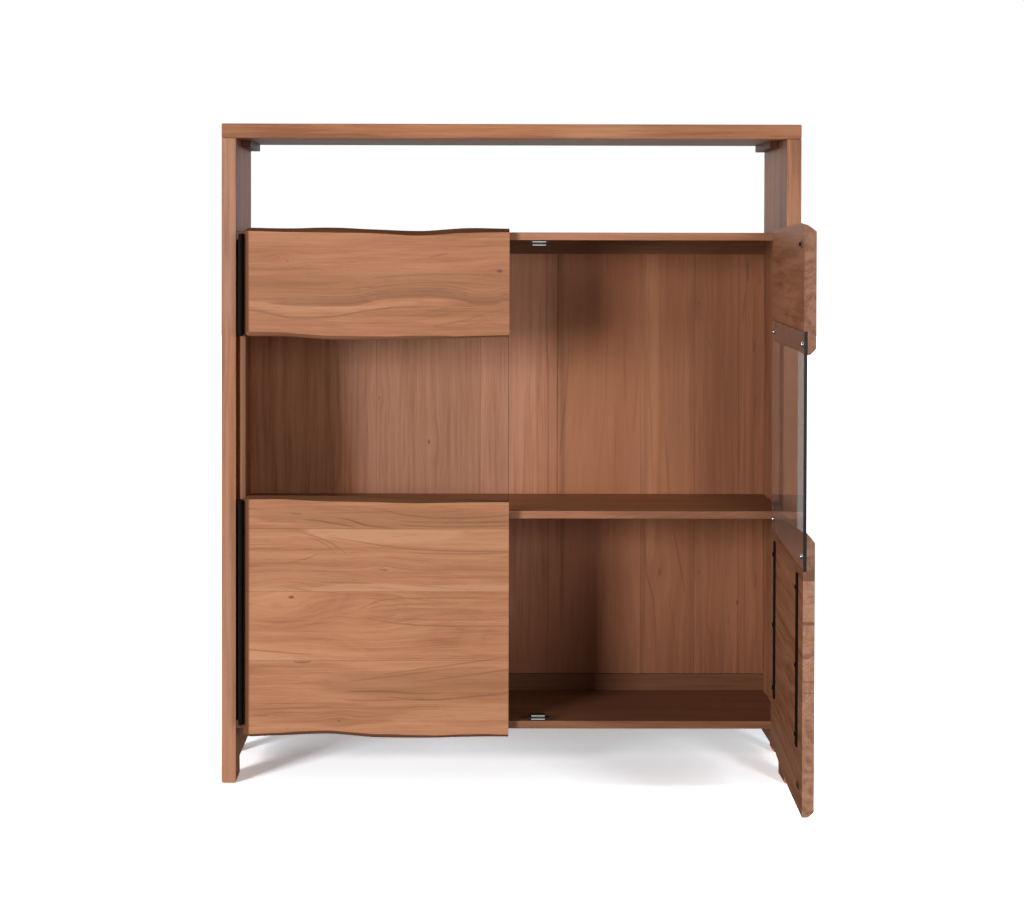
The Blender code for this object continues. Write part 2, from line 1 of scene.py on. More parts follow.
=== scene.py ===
import json
import math

import bmesh
import bpy
from mathutils import Matrix, Vector


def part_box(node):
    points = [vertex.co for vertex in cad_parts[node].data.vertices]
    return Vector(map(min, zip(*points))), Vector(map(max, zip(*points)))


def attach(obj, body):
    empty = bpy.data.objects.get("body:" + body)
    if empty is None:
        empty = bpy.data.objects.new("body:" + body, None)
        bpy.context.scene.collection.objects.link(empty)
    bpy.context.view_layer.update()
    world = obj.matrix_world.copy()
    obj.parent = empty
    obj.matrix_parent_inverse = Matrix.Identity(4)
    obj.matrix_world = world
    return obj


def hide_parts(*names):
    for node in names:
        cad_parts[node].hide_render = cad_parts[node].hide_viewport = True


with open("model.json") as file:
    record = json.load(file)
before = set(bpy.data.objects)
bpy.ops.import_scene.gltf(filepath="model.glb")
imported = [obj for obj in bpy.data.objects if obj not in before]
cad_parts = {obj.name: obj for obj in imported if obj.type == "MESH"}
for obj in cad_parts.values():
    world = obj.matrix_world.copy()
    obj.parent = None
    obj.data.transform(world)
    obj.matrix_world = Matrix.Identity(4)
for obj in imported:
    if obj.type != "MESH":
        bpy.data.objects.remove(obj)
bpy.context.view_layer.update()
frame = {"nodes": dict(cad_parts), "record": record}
nodes = frame["nodes"]
scene = bpy.context.scene
scene.view_settings.view_transform = "Standard"

# Where the photographer stood: a long lens a little over four metres off, at the
# height of the upper door panels and left of the middle, tipped a degree down.
front_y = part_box("side_left")[0].y
camera_place = (-0.1169, front_y - 4.2, 1.1283)
swing, tip, roll = (math.radians(angle) for angle in (-0.194, 1.0, 0.12))
camera_data = bpy.data.cameras.new("camera")
camera_data.sensor_width = 36.0
camera_data.lens = 71.32
camera_data.shift_x = 0.0490
camera_data.shift_y = -0.1746
camera = bpy.data.objects.new("camera", camera_data)
camera_turn = (
    Matrix.Rotation(swing, 4, "Z")
    @ Matrix.Rotation(math.pi / 2 - tip, 4, "X")
    @ Matrix.Rotation(roll, 4, "Z"))
camera.matrix_world = Matrix.Translation(camera_place) @ camera_turn
scene.collection.objects.link(camera)
scene.camera = camera


# A photographer's white room: two soft boxes in front, the left one stronger, a
# weak light all round, and a white floor that keeps the cabinet's shadow, with a
# painted shadow where the floor's glow fades out under and round the cabinet.
def put(tree, kind, inputs=None, **settings):
    """Add a shader node, set it up, and set or wire its inputs."""
    node = tree.nodes.new("ShaderNode" + kind)
    for name, value in settings.items():
        setattr(node, name, value)
    for name, value in (inputs or {}).items():
        if isinstance(value, bpy.types.NodeSocket):
            tree.links.new(value, node.inputs[name])
        else:
            node.inputs[name].default_value = value
    return node


def calc(tree, operation, *values, clamp=False):
    """One step of arithmetic on numbers and sockets."""
    node = put(tree, "Math", dict(enumerate(values)), operation=operation, use_clamp=clamp)
    return node.outputs[0]


def square_sum(tree, first, second):
    """The sum of two squares."""
    return calc(tree, "ADD", calc(tree, "MULTIPLY", first, first), calc(tree, "MULTIPLY", second, second))


def local_place(tree):
    """A point's place in its object."""
    return put(tree, "TexCoord").outputs["Object"]


def bare_material(name):
    """A material with an empty tree and its output node."""
    material = bpy.data.materials.new(name)
    material.use_nodes = True
    material.node_tree.nodes.clear()
    return material, material.node_tree, put(material.node_tree, "OutputMaterial")


def soft_box(name, place, aim, width, height, watts):
    """A rectangular lamp at a place, turned towards a point."""
    lamp = bpy.data.lights.new(name, "AREA")
    lamp.shape = "RECTANGLE"
    lamp.size = width
    lamp.size_y = height
    lamp.energy = watts
    holder = bpy.data.objects.new(name, lamp)
    holder.location = place
    holder.rotation_euler = (Vector(aim) - Vector(place)).to_track_quat("-Z", "Y").to_euler()
    scene.collection.objects.link(holder)


WHITE = (1.0, 1.0, 1.0, 1.0)
room_light = 0.13
dark_ahead = 0.05
floor_paint = 0.80
camera_lift = {"Red": 2.50, "Green": 2.72, "Blue": 2.88}
shade_behind = 0.35
shade_edge = (-0.02, 0.12)
middle = (0.0, front_y, 0.75)
soft_box("soft_box_left", (-4.62, front_y - 5.8, 1.75), middle, width=1.7, height=2.2, watts=386.0)
soft_box("soft_box_right", (2.1, front_y - 3.8, 1.3), middle, width=0.8, height=1.2, watts=44.0)


def smooth_step(tree, value, low, high):
    """A soft step from 0 to 1 between two values."""
    node = put(
        tree, "MapRange", {"Value": value, "From Min": low, "From Max": high},
        interpolation_type="SMOOTHSTEP")
    return node.outputs["Result"]


def straight_look(tree, behind_glass=0.6):
    """1 for what the camera sees, less of it through glass, and 0 for light that has bounced."""
    ray = put(tree, "LightPath").outputs
    unscattered = calc(tree, "LESS_THAN", ray["Diffuse Depth"], 0.5)
    through = calc(tree, "MULTIPLY", ray["Is Transmission Ray"], unscattered)
    through = calc(tree, "MULTIPLY", through, behind_glass)
    return calc(tree, "MAXIMUM", ray["Is Camera Ray"], through)


world = bpy.data.worlds.new("white_room")
scene.world = world
world.use_nodes = True
tree = world.node_tree
tree.nodes.clear()
heading = put(tree, "SeparateXYZ", {"Vector": put(tree, "TexCoord").outputs["Generated"]})
behind = smooth_step(tree, heading.outputs["Y"], -0.05, 0.30)
ray = put(tree, "LightPath").outputs
mirrored = calc(tree, "MULTIPLY_ADD", behind, 1.0 - dark_ahead, dark_ahead)
level = put(tree, "Mix", {0: ray["Is Glossy Ray"], 2: room_light, 3: mirrored}, data_type="FLOAT").outputs[0]
level = calc(tree, "MAXIMUM", level, straight_look(tree))
room = put(tree, "Background", {"Color": WHITE, "Strength": level})
put(tree, "OutputWorld", {"Surface": room.outputs[0]})

bpy.ops.object.select_all(action="DESELECT")
bpy.ops.mesh.primitive_plane_add(size=40.0, location=(0.0, 0.0, 0.0))
floor = bpy.context.object
floor.name = "floor"
floor_material, tree, output = bare_material("white_floor")
ray = put(tree, "LightPath").outputs
white = put(
    tree, "CombineColor",
    {band: calc(tree, "MULTIPLY_ADD", ray["Is Camera Ray"], lift, floor_paint)
     for band, lift in camera_lift.items()})
paint = put(tree, "BsdfDiffuse", {"Color": white.outputs[0]})
# Painted shadow: the glow the camera sees fades out under, round and just behind the cabinet.
spot = put(tree, "SeparateXYZ", {"Vector": local_place(tree)}).outputs
side_low, side_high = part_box("side_right")
half_depth = (side_high.y + shade_behind - side_low.y) / 2
beside = calc(tree, "SUBTRACT", calc(tree, "ABSOLUTE", spot["X"]), side_high.x)
ahead = calc(tree, "ABSOLUTE", calc(tree, "SUBTRACT", spot["Y"], side_low.y + half_depth))
beside = calc(tree, "MAXIMUM", beside, 0.0)
ahead = calc(tree, "MAXIMUM", calc(tree, "SUBTRACT", ahead, half_depth), 0.0)
away = calc(tree, "SQRT", square_sum(tree, beside, ahead))
lit = calc(tree, "MULTIPLY", straight_look(tree), smooth_step(tree, away, *shade_edge))
glow = put(tree, "Emission", {"Color": WHITE, "Strength": lit})
sheet = put(tree, "AddShader", {0: paint.outputs[0], 1: glow.outputs[0]})
# Painted reflection: in reflections the floor shows only a glow, dim in front and brighter behind.
beyond = calc(tree, "MULTIPLY_ADD", smooth_step(tree, spot["Y"], side_high.y, side_high.y + 1.0), 0.50, 0.05)
dim = put(tree, "Emission", {"Color": WHITE, "Strength": beyond})
sheet = put(tree, "MixShader", {0: ray["Is Glossy Ray"], 1: sheet.outputs[0], 2: dim.outputs[0]})
tree.links.new(sheet.outputs[0], output.inputs["Surface"])
floor.data.materials.append(floor_material)


# Side panels: solid oiled hardwood, boards glued edge to edge with the grain
# standing upright, cut out below to leave a foot at the front and a thin one behind.
def new_group(name, inputs, outputs):
    """An empty shader node group with number sockets, and its two ends."""
    group = bpy.data.node_groups.new(name, "ShaderNodeTree")
    for label, value in inputs.items():
        socket = group.interface.new_socket(label, in_out="INPUT", socket_type="NodeSocketFloat")
        socket.default_value = value
    for label in outputs:
        group.interface.new_socket(label, in_out="OUTPUT", socket_type="NodeSocketFloat")
    given = group.nodes.new("NodeGroupInput").outputs
    made = group.nodes.new("NodeGroupOutput").inputs
    return group, given, made


def vary(tree, noise, amount, base):
    """A base value, moved up and down by a noise from 0 to 1."""
    return calc(tree, "MULTIPLY_ADD", calc(tree, "SUBTRACT", noise, 0.5), amount, base)


def grain_group():
    """Growth rings round a wandering pith behind the face, long fibres and open pores."""
    inputs = {
        "Along": 0.0, "Across": 0.0, "Deep": 0.0, "Seed": 0.0, "Pith": 0.07, "Figure": 0.03, "Rings": 60.0}
    group, given, made = new_group("timber grain", inputs, ("Tone", "Fibre", "Pores", "Mottle"))

    def streaked(along, across, detail, roughness, shift):
        offset = calc(group, "MULTIPLY_ADD", given["Seed"], 7.13, shift)
        x = calc(group, "MULTIPLY_ADD", given["Along"], along, offset)
        y = calc(group, "MULTIPLY_ADD", given["Across"], across, offset)
        z = calc(group, "MULTIPLY", given["Deep"], across)
        place = put(group, "CombineXYZ", {"X": x, "Y": y, "Z": z})
        noise = put(
            group, "TexNoise",
            {"Vector": place.outputs[0], "Scale": 1.0, "Detail": detail, "Roughness": roughness})
        return noise.outputs["Fac"]

    wander = calc(group, "MULTIPLY", given["Figure"], 3.0)
    across = vary(group, streaked(1.3, 4.0, 2.0, 0.5, 11.0), wander, given["Across"])
    deep = calc(group, "ADD", given["Deep"], given["Pith"])
    deep = vary(group, streaked(1.7, 5.0, 2.0, 0.5, 37.0), wander, deep)
    radius = calc(group, "SQRT", square_sum(group, across, deep))
    radius = vary(group, streaked(9.0, 26.0, 1.0, 0.5, 5.0), 0.0035, radius)
    turns = calc(group, "MULTIPLY_ADD", radius, given["Rings"], calc(group, "MULTIPLY", given["Seed"], 17.3))
    rings = put(
        group, "TexNoise", {"W": turns, "Scale": 1.0, "Detail": 4.0, "Roughness": 0.6},
        noise_dimensions="1D")
    fibre = streaked(9.0, 420.0, 3.0, 0.6, 3.0)
    bands = streaked(3.5, 95.0, 3.0, 0.6, 71.0)
    drift = streaked(2.2, 9.0, 2.0, 0.5, 23.0)
    tone = 0.5
    for noise, share in ((rings.outputs["Fac"], 0.42), (bands, 0.50), (fibre, 0.36), (drift, 0.36)):
        tone = vary(group, noise, share, tone)
    group.links.new(tone, made["Tone"])
    group.links.new(fibre, made["Fibre"])
    group.links.new(smooth_step(group, bands, 0.34, 0.62), made["Mottle"])
    group.links.new(smooth_step(group, streaked(30.0, 640.0, 2.0, 0.55, 61.0), 0.60, 0.74), made["Pores"])
    return group


def boards_group():
    """Which of the glued boards a point is on, and the fine line where two meet."""
    labels = ("Joint 1", "Joint 2", "Joint 3", "Joint 4", "Joint 5")
    far = 9.0
    inputs = {"Across": 0.0, **dict.fromkeys(labels, far)}
    group, given, made = new_group("glued boards", inputs, ("Board", "Line"))
    board = 0.0
    gap = far
    for label in labels:
        offset = calc(group, "SUBTRACT", given["Across"], given[label])
        board = calc(group, "ADD", calc(group, "GREATER_THAN", offset, 0.0), board)
        gap = calc(group, "MINIMUM", calc(group, "ABSOLUTE", offset), gap)
    group.links.new(board, made["Board"])
    group.links.new(calc(group, "SUBTRACT", 1.0, smooth_step(group, gap, 0.0, 0.0011)), made["Line"])
    return group


def knot_group():
    """Grain that parts round a knot, and the knot's dark heart."""
    inputs = {"Along": 0.0, "Across": 0.0, "Knot Along": 0.0, "Knot Across": 0.0, "Size": 0.006, "Heart": 1.0}
    group, given, made = new_group("knot", inputs, ("Across", "Heart"))
    along = calc(group, "MULTIPLY", calc(group, "SUBTRACT", given["Along"], given["Knot Along"]), 0.5)
    across = calc(group, "SUBTRACT", given["Across"], given["Knot Across"])
    square = square_sum(group, along, across)
    size_square = calc(group, "MULTIPLY", given["Size"], given["Size"])
    spread = calc(group, "DIVIDE", square, calc(group, "MULTIPLY", size_square, -18.0))
    pull = calc(group, "MULTIPLY", calc(group, "EXPONENT", spread), -0.85)
    group.links.new(calc(group, "MULTIPLY_ADD", across, pull, given["Across"]), made["Across"])
    reach = calc(group, "SQRT", calc(group, "DIVIDE", square, size_square))
    heart = calc(group, "SUBTRACT", 1.0, smooth_step(group, reach, 0.25, 0.75))
    group.links.new(calc(group, "MULTIPLY", heart, given["Heart"]), made["Heart"])
    return group


def streak_group():
    """A band that tapers to both ends, reaching some way above and below a line along the grain."""
    inputs = {
        "Along": 0.0, "Across": 0.0, "Line": 0.0, "Start": 0.0, "End": 1.0, "Above": 0.0015, "Below": 0.0015,
        "Soft Above": 0.003, "Soft Below": 0.003}
    group, given, made = new_group("streak", inputs, ("Mask",))
    run = calc(group, "SUBTRACT", given["Along"], given["Start"])
    share = calc(group, "DIVIDE", run, calc(group, "SUBTRACT", given["End"], given["Start"]), clamp=True)
    taper = calc(group, "MULTIPLY", calc(group, "MULTIPLY", share, calc(group, "SUBTRACT", 1.0, share)), 4.0)
    reach = calc(group, "SQRT", taper)
    off = calc(group, "SUBTRACT", given["Across"], given["Line"])
    upper = calc(group, "SUBTRACT", calc(group, "MULTIPLY", given["Above"], reach), off)
    lower = calc(group, "MULTIPLY_ADD", given["Below"], reach, off)
    upper = smooth_step(group, calc(group, "DIVIDE", upper, given["Soft Above"]), -0.5, 0.5)
    lower = smooth_step(group, calc(group, "DIVIDE", lower, given["Soft Below"]), -0.5, 0.5)
    mask = calc(group, "MULTIPLY", calc(group, "MULTIPLY", upper, lower), smooth_step(group, taper, 0.0, 0.3))
    group.links.new(mask, made["Mask"])
    return group


def drawn_line(tree, along, points):
    """The height of a line drawn through a few points, read along the grain."""
    first, last = points[0][0], points[-1][0]
    share = put(tree, "MapRange", {"Value": along, "From Min": first, "From Max": last}).outputs[0]
    low = min(height for _, height in points)
    rise = max(height for _, height in points) - low + 1e-5
    bend = put(tree, "FloatCurve", {"Value": share})
    curve = bend.mapping.curves[0]
    spots = [((place - first) / (last - first), (height - low) / rise) for place, height in points]
    curve.points[0].location = spots[0]
    curve.points[1].location = spots[-1]
    for spot in spots[1:-1]:
        curve.points.new(*spot)
    bend.mapping.update()
    return calc(tree, "MULTIPLY_ADD", bend.outputs[0], rise, low)


GRAIN = grain_group()
BOARDS = boards_group()
KNOT = knot_group()
STREAK = streak_group()
SAPWOOD_AND_LIGHT = (0.600, 0.295, 0.155, 1.0)
HEARTWOOD_AND_SHADE = (0.20, 0.083, 0.042, 1.0)
SHADE_BROWN = (0.14, 0.056, 0.027, 1.0)
OILED = ((0.315, 0.120, 0.056), (0.415, 0.170, 0.084), (0.470, 0.198, 0.101), (0.540, 0.240, 0.128))


def mix(tree, factor, first, second, mode="MIX"):
    """Two colours mixed, either of them a socket."""
    node = put(tree, "Mix", {0: factor, 6: first, 7: second}, data_type="RGBA", blend_type=mode)
    return node.outputs[2]


def shaded(tree, color, level):
    """A colour made darker or lighter by a level."""
    grey = put(tree, "CombineColor", {"Red": level, "Green": level, "Blue": level})
    return mix(tree, 1.0, color, grey.outputs[0], "MULTIPLY")


def timber(name, axes, seed, joints=(), centre=0.0, tones=OILED, pith=0.06, figure=0.03, rings=60.0,
           streaks=(), knots=(), turn=None, roughness=0.48, shine=0.32, pores=0.22, uneven=0.20, lively=1.0):
    """Oiled solid wood. The axes say which way the grain runs, which way the boards lie, and the rest.

    A streak has a colour, a strength, its course along the grain or, when marked, across it, and
    how far it reaches and fades above and below that. A knot has its place, size and darkness.
    """
    material, tree, output = bare_material(name)
    place = local_place(tree)
    if turn:
        place = put(
            tree, "Mapping",
            {"Vector": place, "Location": turn[0], "Rotation": (0.0, 0.0, turn[1])},
            vector_type="TEXTURE").outputs[0]
    parts = put(tree, "SeparateXYZ", {"Vector": place}).outputs
    along, across, deep = (parts[letter] for letter in axes)

    bent = across
    heart = 0.0
    for knot_along, knot_across, size, darkness in knots:
        knot = put(
            tree, "Group",
            node_tree=KNOT, inputs={
                "Along": along, "Across": bent, "Knot Along": knot_along, "Knot Across": knot_across,
                "Size": size, "Heart": darkness})
        bent = knot.outputs["Across"]
        heart = calc(tree, "MAXIMUM", knot.outputs["Heart"], heart)

    glue = put(
        tree, "Group", node_tree=BOARDS,
        inputs={"Across": across, **{f"Joint {i + 1}": joint for i, joint in enumerate(joints)}})
    lot = put(
        tree, "TexWhiteNoise", {"W": calc(tree, "ADD", glue.outputs["Board"], seed)},
        noise_dimensions="1D").outputs["Value"]
    log_place = vary(tree, lot, 0.16, calc(tree, "SUBTRACT", bent, centre))
    grain = put(
        tree, "Group", node_tree=GRAIN,
        inputs={
            "Along": along, "Across": log_place, "Deep": deep, "Pith": pith, "Figure": figure, "Rings": rings,
            "Seed": calc(tree, "MULTIPLY_ADD", lot, 5.0, seed)})
    ramp = put(tree, "ValToRGB", {"Fac": grain.outputs["Tone"]})
    stops = ramp.color_ramp.elements
    while len(stops) < len(tones):
        stops.new(0.5)
    middle_tone = 0.49
    for stop, position, tone in zip(stops, (0.30, 0.44, 0.54, 0.70), tones):
        stop.position = middle_tone + (position - middle_tone) / lively
        stop.color = (*tone, 1.0)

    color = ramp.outputs["Color"]
    patchy = vary(tree, grain.outputs["Fibre"], 0.8, 1.0)
    patchy = calc(tree, "MULTIPLY", patchy, calc(tree, "MULTIPLY_ADD", grain.outputs["Mottle"], 0.6, 0.65))
    for tint, strength, points, reach, *crossing in streaks:
        run, height = (across, along) if crossing else (along, across)
        band = put(
            tree, "Group", node_tree=STREAK,
            inputs={
                "Along": run, "Across": height, "Line": drawn_line(tree, run, points),
                "Start": points[0][0], "End": points[-1][0],
                **dict(zip(("Above", "Below", "Soft Above", "Soft Below"), reach))})
        fade = calc(tree, "MULTIPLY", patchy, strength, clamp=True)
        color = mix(tree, calc(tree, "MULTIPLY", band.outputs["Mask"], fade), color, tint)
    level = vary(tree, lot, uneven, 1.0)
    level = calc(tree, "MULTIPLY", level, calc(tree, "MULTIPLY_ADD", grain.outputs["Pores"], -pores, 1.0))
    level = calc(tree, "MULTIPLY", level, calc(tree, "MULTIPLY_ADD", glue.outputs["Line"], -0.35, 1.0))
    color = shaded(tree, color, level)
    if knots:
        color = mix(tree, heart, color, HEARTWOOD_AND_SHADE)

    height = calc(tree, "MULTIPLY", grain.outputs["Tone"], 0.4)
    height = calc(tree, "SUBTRACT", height, grain.outputs["Pores"])
    height = calc(tree, "MULTIPLY_ADD", glue.outputs["Line"], -1.5, height)
    bump = put(tree, "Bump", {"Strength": 0.18, "Distance": 0.0004, "Height": height})
    gloss = vary(tree, grain.outputs["Fibre"], 0.18, roughness)
    gloss = calc(tree, "MULTIPLY_ADD", grain.outputs["Pores"], 0.12, gloss)
    surface = put(
        tree, "BsdfPrincipled",
        {"Base Color": color, "Roughness": gloss, "Normal": bump.outputs[0], "Specular IOR Level": shine})
    tree.links.new(surface.outputs[0], output.inputs["Surface"])
    return material


def dress(material, *names):
    """Give CAD nodes their finish."""
    for name in names:
        for slot in nodes[name].material_slots:
            slot.material = material


def toned(red, green=None, blue=None):
    """The oiled tones made darker or lighter."""
    factor = (red, green or red, blue or red)
    return tuple(tuple(c * f for c, f in zip(tone, factor)) for tone in OILED)


def plain_block(name, low, high):
    """A cube added at its size and place, with both left in its mesh."""
    bpy.ops.object.select_all(action="DESELECT")
    bpy.ops.mesh.primitive_cube_add(
        size=1.0, location=[(l + h) / 2 for l, h in zip(low, high)], scale=[h - l for l, h in zip(low, high)])
    piece = bpy.context.object
    piece.name = name
    bpy.ops.object.transform_apply()
    return piece


def cut_away(piece, low, high):
    """Take a box out of a piece."""
    cutter = plain_block("cutter", low, high)
    cut = piece.modifiers.new("cut", "BOOLEAN")
    cut.operation = "DIFFERENCE"
    cut.object = cutter
    bpy.context.view_layer.objects.active = piece
    bpy.ops.object.modifier_apply(modifier="cut")
    bpy.data.objects.remove(cutter, do_unlink=True)


def select_only(piece):
    """Make a piece the only selected one, and the active one."""
    bpy.ops.object.select_all(action="DESELECT")
    piece.select_set(True)
    bpy.context.view_layer.objects.active = piece


def edit_only(piece, kind, wanted):
    """Open the active piece for editing, with those edges or faces selected that the test picks."""
    bpy.ops.object.mode_set(mode="EDIT")
    bpy.ops.mesh.select_mode(type=kind)
    bpy.ops.mesh.select_all(action="DESELECT")
    mesh = bmesh.from_edit_mesh(piece.data)
    for item in mesh.edges if kind == "EDGE" else mesh.faces:
        item.select = wanted(item)
    bmesh.update_edit_mesh(piece.data)


def bevel_where(piece, wanted, radius, segments):
    """Round the edges of a piece that the test on their two ends picks."""
    select_only(piece)
    edit_only(piece, "EDGE", lambda edge: wanted(edge.verts[0].co, edge.verts[1].co))
    bpy.ops.mesh.bevel(offset=radius, segments=segments, affect="EDGES")
    bpy.ops.object.mode_set(mode="OBJECT")


def round_over(piece, width, segments):
    """Ease the sharp edges of a piece and shade it smooth, its flats left flat."""
    sharp = math.radians(25.0)
    smooth = math.radians(40.0)
    bevel = piece.modifiers.new("arris", "BEVEL")
    bevel.width = width
    bevel.segments = segments
    bevel.limit_method = "ANGLE"
    bevel.angle_limit = sharp
    select_only(piece)
    bpy.ops.object.modifier_apply(modifier="arris")
    bpy.ops.object.shade_smooth_by_angle(angle=smooth)
    flat = piece.modifiers.new("flats", "WEIGHTED_NORMAL")
    flat.keep_sharp = True
    bpy.ops.object.modifier_apply(modifier="flats")


def cross_band(tint, strength, place, *reach):
    """A band of another colour across the grain, over the whole width of a piece."""
    far = 3.0
    return tint, strength, ((-far, place), (far, place)), reach, "crossing"


MM = 0.001
side_joints = (front_y + 0.088, front_y + 0.171, front_y + 0.236)
front_foot = 0.075
back_foot = 0.050
back_foot_t = 0.012
foot_height = 0.038
spare = 0.02
foot_round = 0.005
pale_end = cross_band((0.60, 0.34, 0.24, 1.0), 0.30, 1.5, 0.2, 0.52, 0.003, 0.25)
pale_foot = cross_band((0.64, 0.32, 0.19, 1.0), 0.45, 0.0, 0.45, 0.2, 0.40)
# lit_foot is painted light: the inner face of the left foot is painted pale.
lit_foot = cross_band(SAPWOOD_AND_LIGHT, 0.70, 0.0, 0.10, 0.2, 0.02)
# The inside faces get darker copies of the wood, as painted shade.
side_looks = {
    "left": (toned(1.00, 1.02, 1.06), (pale_end, pale_foot), toned(0.80, 0.55, 0.42), (lit_foot,)),
    "right": (toned(1.00, 1.03, 1.01), (), toned(0.59, 0.58, 0.57), ())}
for seed, (word, (outer, outer_figure, inside, inside_figure)) in enumerate(side_looks.items()):
    node = "side_" + word
    low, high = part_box(node)
    board = plain_block(node + "_board", low, high)
    cut_away(
        board, (low.x - spare, low.y + front_foot, low.z - spare),
        (high.x + spare, high.y - back_foot, low.z + foot_height))
    inner = (low.x + back_foot_t, high.x + spare) if word == "left" else (low.x - spare, high.x - back_foot_t)
    cut_away(
        board, (inner[0], high.y - 2 * back_foot, low.z - spare),
        (inner[1], high.y + spare, low.z + foot_height))
    bevel_where(
        board, lambda a, b: max(a.z, b.z) < MM and abs(a.y - b.y) > MM, radius=foot_round, segments=4)
    round_over(board, width=1.2 * MM, segments=3)
    same = {"seed": 2.3 + 3.6 * seed, "joints": side_joints, "centre": front_y + 0.05, "figure": 0.02,
            "lively": 1.3 + 0.5 * seed}
    board.data.materials.append(timber(node + "_wood", "ZYX", tones=outer, streaks=outer_figure, **same))
    board.data.materials.append(
        timber(node + "_inside", "ZYX", tones=inside, shine=0.16, streaks=inside_figure, **same))
    for face in board.data.polygons:
        face.material_index = 1 if face.normal.x * low.x < -0.9 * abs(low.x) else 0
    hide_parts(node)
    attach(board, "cabinet")


# Top board: one wide glued board lying on the sides, its ends flush with them,
# and a small cleat in each corner under it that ties it to the side.
top_joints = (front_y + 0.07, front_y + 0.16, front_y + 0.245)
top_streaks = (
    cross_band(HEARTWOOD_AND_SHADE, 0.20, -0.60, 0.16, 0.4, 0.10),
    cross_band(HEARTWOOD_AND_SHADE, 0.14, 0.60, 0.4, 0.19, 0.003, 0.12),
    cross_band(SAPWOOD_AND_LIGHT, 0.38, 0.18, 0.11, 0.08, 0.14, 0.14))
dress(
    timber("top_wood", "XYZ", 8.4, top_joints, centre=front_y + 0.1, tones=toned(0.90, 0.86, 0.77),
           pith=0.05, lively=1.4, streaks=top_streaks),
    "top_board")
# The cleats are toned dark as painted shade under the top board.
dress(timber("cleat_wood", "YXZ", 1.2, tones=toned(0.30), shine=0.1), "cleat_left", "cleat_right")


# Cupboard boards: thinner boards between the sides, grain across the cabinet and
# planed square in front. The shelf is notched round the posts that carry the doors.
board_joints = (front_y + 0.11, front_y + 0.2)
post_gap = 0.0003
# Painted shade: the front of each board is painted dark brown at both ends, beside the sides and the hinges.
shaded_ends = tuple(cross_band(SHADE_BROWN, 2.0, end_x, 0.019, 0.019) for end_x in (-0.572, 0.572))


def darker_right(strength, reach, soft):
    """A board made darker towards its right end."""
    return cross_band(HEARTWOOD_AND_SHADE, strength, 0.62, 0.3, reach, 0.003, soft)


slanting = tuple(
    (HEARTWOOD_AND_SHADE, strength, ((x - 0.15, 0.525), (x + 0.15, 0.593)), (1.2 * MM, 1.2 * MM))
    for x, strength in (
        (0.24, 0.4), (0.29, 0.5), (0.34, 0.7), (0.362, 0.5), (0.40, 0.7), (0.43, 0.6), (0.47, 0.6)))
# Painted shade: faces other than the front are toned darker than the fronts, the lower the board the darker,
# and the floor board is darkest all over.
planks = {
    "cabinet_top": (toned(0.83), (), toned(0.88, 0.88, 0.90), (darker_right(0.45, 0.13, 0.09),)),
    "middle_shelf": (
        toned(0.70, 0.72, 0.66), (darker_right(0.75, 0.17, 0.22),),
        toned(0.92, 0.92, 0.95), (darker_right(0.45, 0.40, 0.20), *slanting)),
    "floor_board": (toned(0.51), (), toned(0.62), ())}
for number, (node, (top_tone, top_figure, front_tone, front_figure)) in enumerate(planks.items()):
    low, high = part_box(node)
    plank = plain_block(node + "_plank", low, high)
    if node == "middle_shelf":
        for word in ("left", "right"):
            post_low, post_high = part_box("hinge_post_" + word)
            notch = (low.x - spare, post_high.x + post_gap)
            if word == "right":
                notch = (post_low.x - post_gap, high.x + spare)
            cut_away(
                plank, (notch[0], low.y - spare, low.z - spare),
                (notch[1], post_high.y + post_gap, high.z + spare))
    round_over(plank, width=MM, segments=3)
    seed = 3.1 + 3.3 * number
    plank.data.materials.append(
        timber(node + "_wood", "XYZ", seed, board_joints, centre=front_y + 0.1, tones=top_tone,
               streaks=top_figure, shine=0.15))
    plank.data.materials.append(
        timber(node + "_front", "XZY", seed, centre=low.z - 0.05, tones=front_tone,
               streaks=(*front_figure, *shaded_ends), lively=1.5))
    for face in plank.data.polygons:
        face.material_index = 1 if face.normal.y < -0.6 else 0
    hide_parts(node)
    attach(plank, "cabinet")


# Back: upright boards glued into one panel, lighter on the left, with a few small
# knots, and a rail across its top and its bottom on the inside. The lighter left is a
# pale tint painted as light over the middle, where the lamps reach it; the right is
# darker, partly darker wood and partly painted shade where the open right door keeps
# light off; and the bottom of the panel is painted darker as shade.
def dark_lines(*lines):
    """Dark streaks of heartwood, and on the back of painted shade, each with its strength, its course, its
    reach and its softness.
    """
    return tuple((HEARTWOOD_AND_SHADE, strength, points, reach) for strength, points, *reach in lines)


